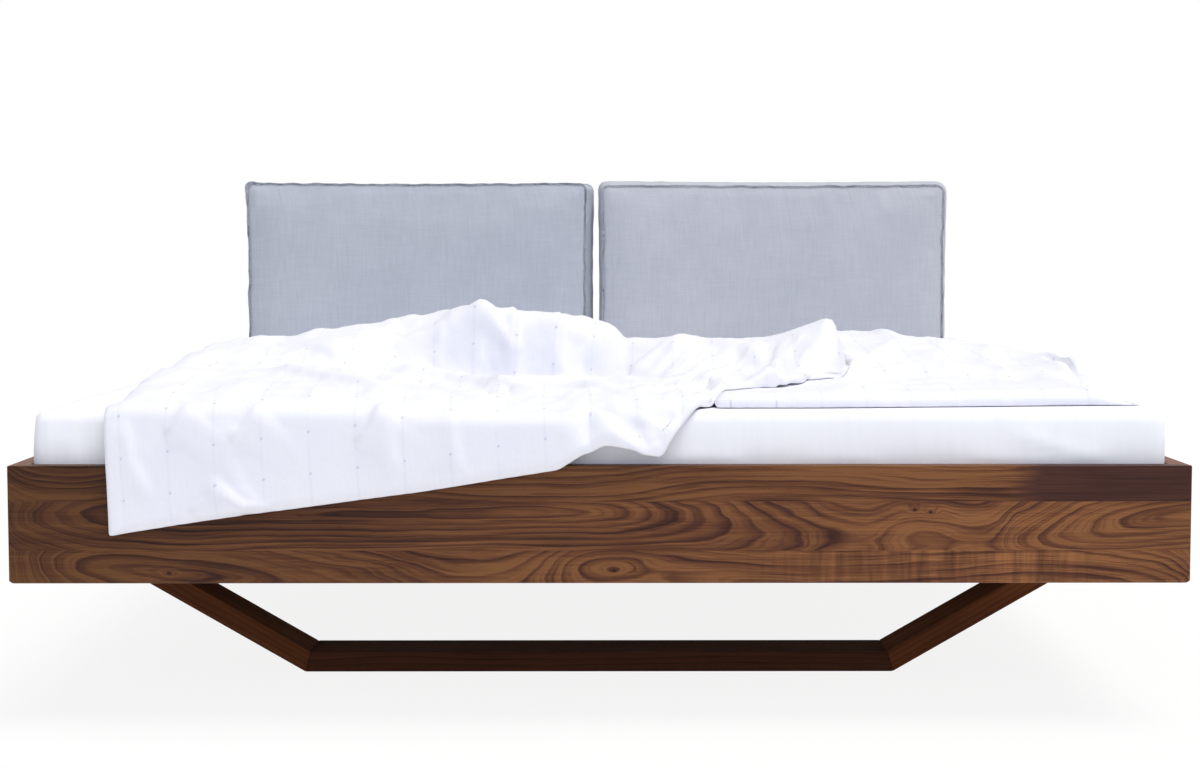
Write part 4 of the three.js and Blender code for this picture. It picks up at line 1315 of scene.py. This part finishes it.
for vertex, facing, place in zip(mesh.vertices, facings, weave_places(mesh)):
    point = vertex.co
    hanging = max(ease((-1.050 - point.y) / 0.015), ease((0.502 - point.z) / 0.012))
    ridge_y = read_off(crest_place, point.x)
    on_face = ease((ridge_y + 0.03 - point.y) / 0.02) * ease((point.y - ridge_y + 0.11) / 0.03)
    on_face *= ease((point.x + 0.41) / 0.02) * ease((0.06 - point.x) / 0.03)
    raised = 0.0044 * crumple(place, 0.105, 2.0) + 0.0046 * crumple(place, 0.046, 7.0)
    raised *= (1 - 0.85 * hanging) * (1 - 0.7 * ease(1 - abs(point.y - ridge_y) / 0.07))
    if hanging > 0:
        raised += hanging_lift * hanging * folds(point.x, point.z, hanging_creases, crisp)
    if on_face > 0:
        raised += face_lift * on_face * folds(point.x, point.z, face_creases, crisp)
    elif hanging < 1:
        raised += (1 - hanging) * folds(point.x, point.y, flat_creases)
    point += facing * raised
# The cloth rests on the sheet and on the other duvet, and its side edge gapes open along openings.
lip = 0.0048
for vertex in mesh.vertices:
    point = vertex.co
    if point.y > -1.03 or (point.x > 0.12 and point.y > -1.038):
        rounded = min(edge_round, max(0.0, point.y - bed_front))
        rest = bed_top + 0.001 - edge_round + math.sqrt(edge_round ** 2 - (edge_round - rounded) ** 2)
        if point.x > duvet_low.x - 0.02:
            met = right_surface.ray_cast(Vector((point.x, point.y, 1.0)), Vector((0, 0, -1)))[0]
            rest = met.z if met else rest
        rest += cloth_half + 0.0012
        if point.x > 0.15:
            inwards = point.y - read_off(edge_line, point.x)
            opened = read_off(openings, point.x) * ease(1 - inwards / 0.14)
            settled = ease(inwards / 0.03) * min(1.0, 0.5 + max(0.0, 0.450 - point.x) / 0.05)
            lying = rest + opened * ease(inwards / 0.012)
            lying += max(0.0, point.z - rest - opened * (1 - settled)) * settled
            lying -= lip * min(1.0, opened / 0.010) * ease(1 - inwards / 0.010)
            point.z += (lying - point.z) * ease((point.x - 0.15) / 0.025)
        point.z = max(point.z, rest - lip)
    elif point.z < 0.428:
        point.y = min(point.y, foot_face - cloth_half - 0.002)

# The two faces of the cover: full in the middle, thin towards the hem and the edges.
fill = (0.22, 0.40, 0.58, 0.75, 0.88, 0.96, 1.0)
shape = bmesh.new()
shape.from_mesh(mesh)
shape.normal_update()
steps_in = {vertex: 0 for vertex in shape.verts if vertex.is_boundary}
edge_now = list(steps_in)
for depth_in in range(1, 6):
    inner = []
    for vertex in edge_now:
        for link in vertex.link_edges:
            other = link.other_vert(vertex)
            if other not in steps_in:
                steps_in[other] = depth_in
                inner.append(other)
    edge_now = inner
upper = list(shape.verts)
normals = [vertex.normal.copy() for vertex in upper]
rims = [edge for edge in shape.edges if edge.is_boundary]
copy = bmesh.ops.duplicate(shape, geom=shape.verts[:] + shape.edges[:] + shape.faces[:])
twin = copy["vert_map"]
under_faces = [item for item in copy["geom"] if isinstance(item, bmesh.types.BMFace)]
under_rims = [item for item in copy["geom"] if isinstance(item, bmesh.types.BMEdge) and item.is_boundary]
for vertex, normal in zip(upper, normals):
    twin[vertex].co -= normal * cloth_half
    vertex.co += normal * cloth_half * (2 * fill[steps_in.get(vertex, 6)] - 1)
bmesh.ops.reverse_faces(shape, faces=under_faces)
bmesh.ops.bridge_loops(shape, edges=rims + under_rims)
bmesh.ops.recalc_face_normals(shape, faces=shape.faces)
shape.to_mesh(mesh)
shape.free()
smooth(mesh)
mesh.materials.append(duvet_cover)
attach(drape, "duvet_left")
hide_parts("duvet_left")
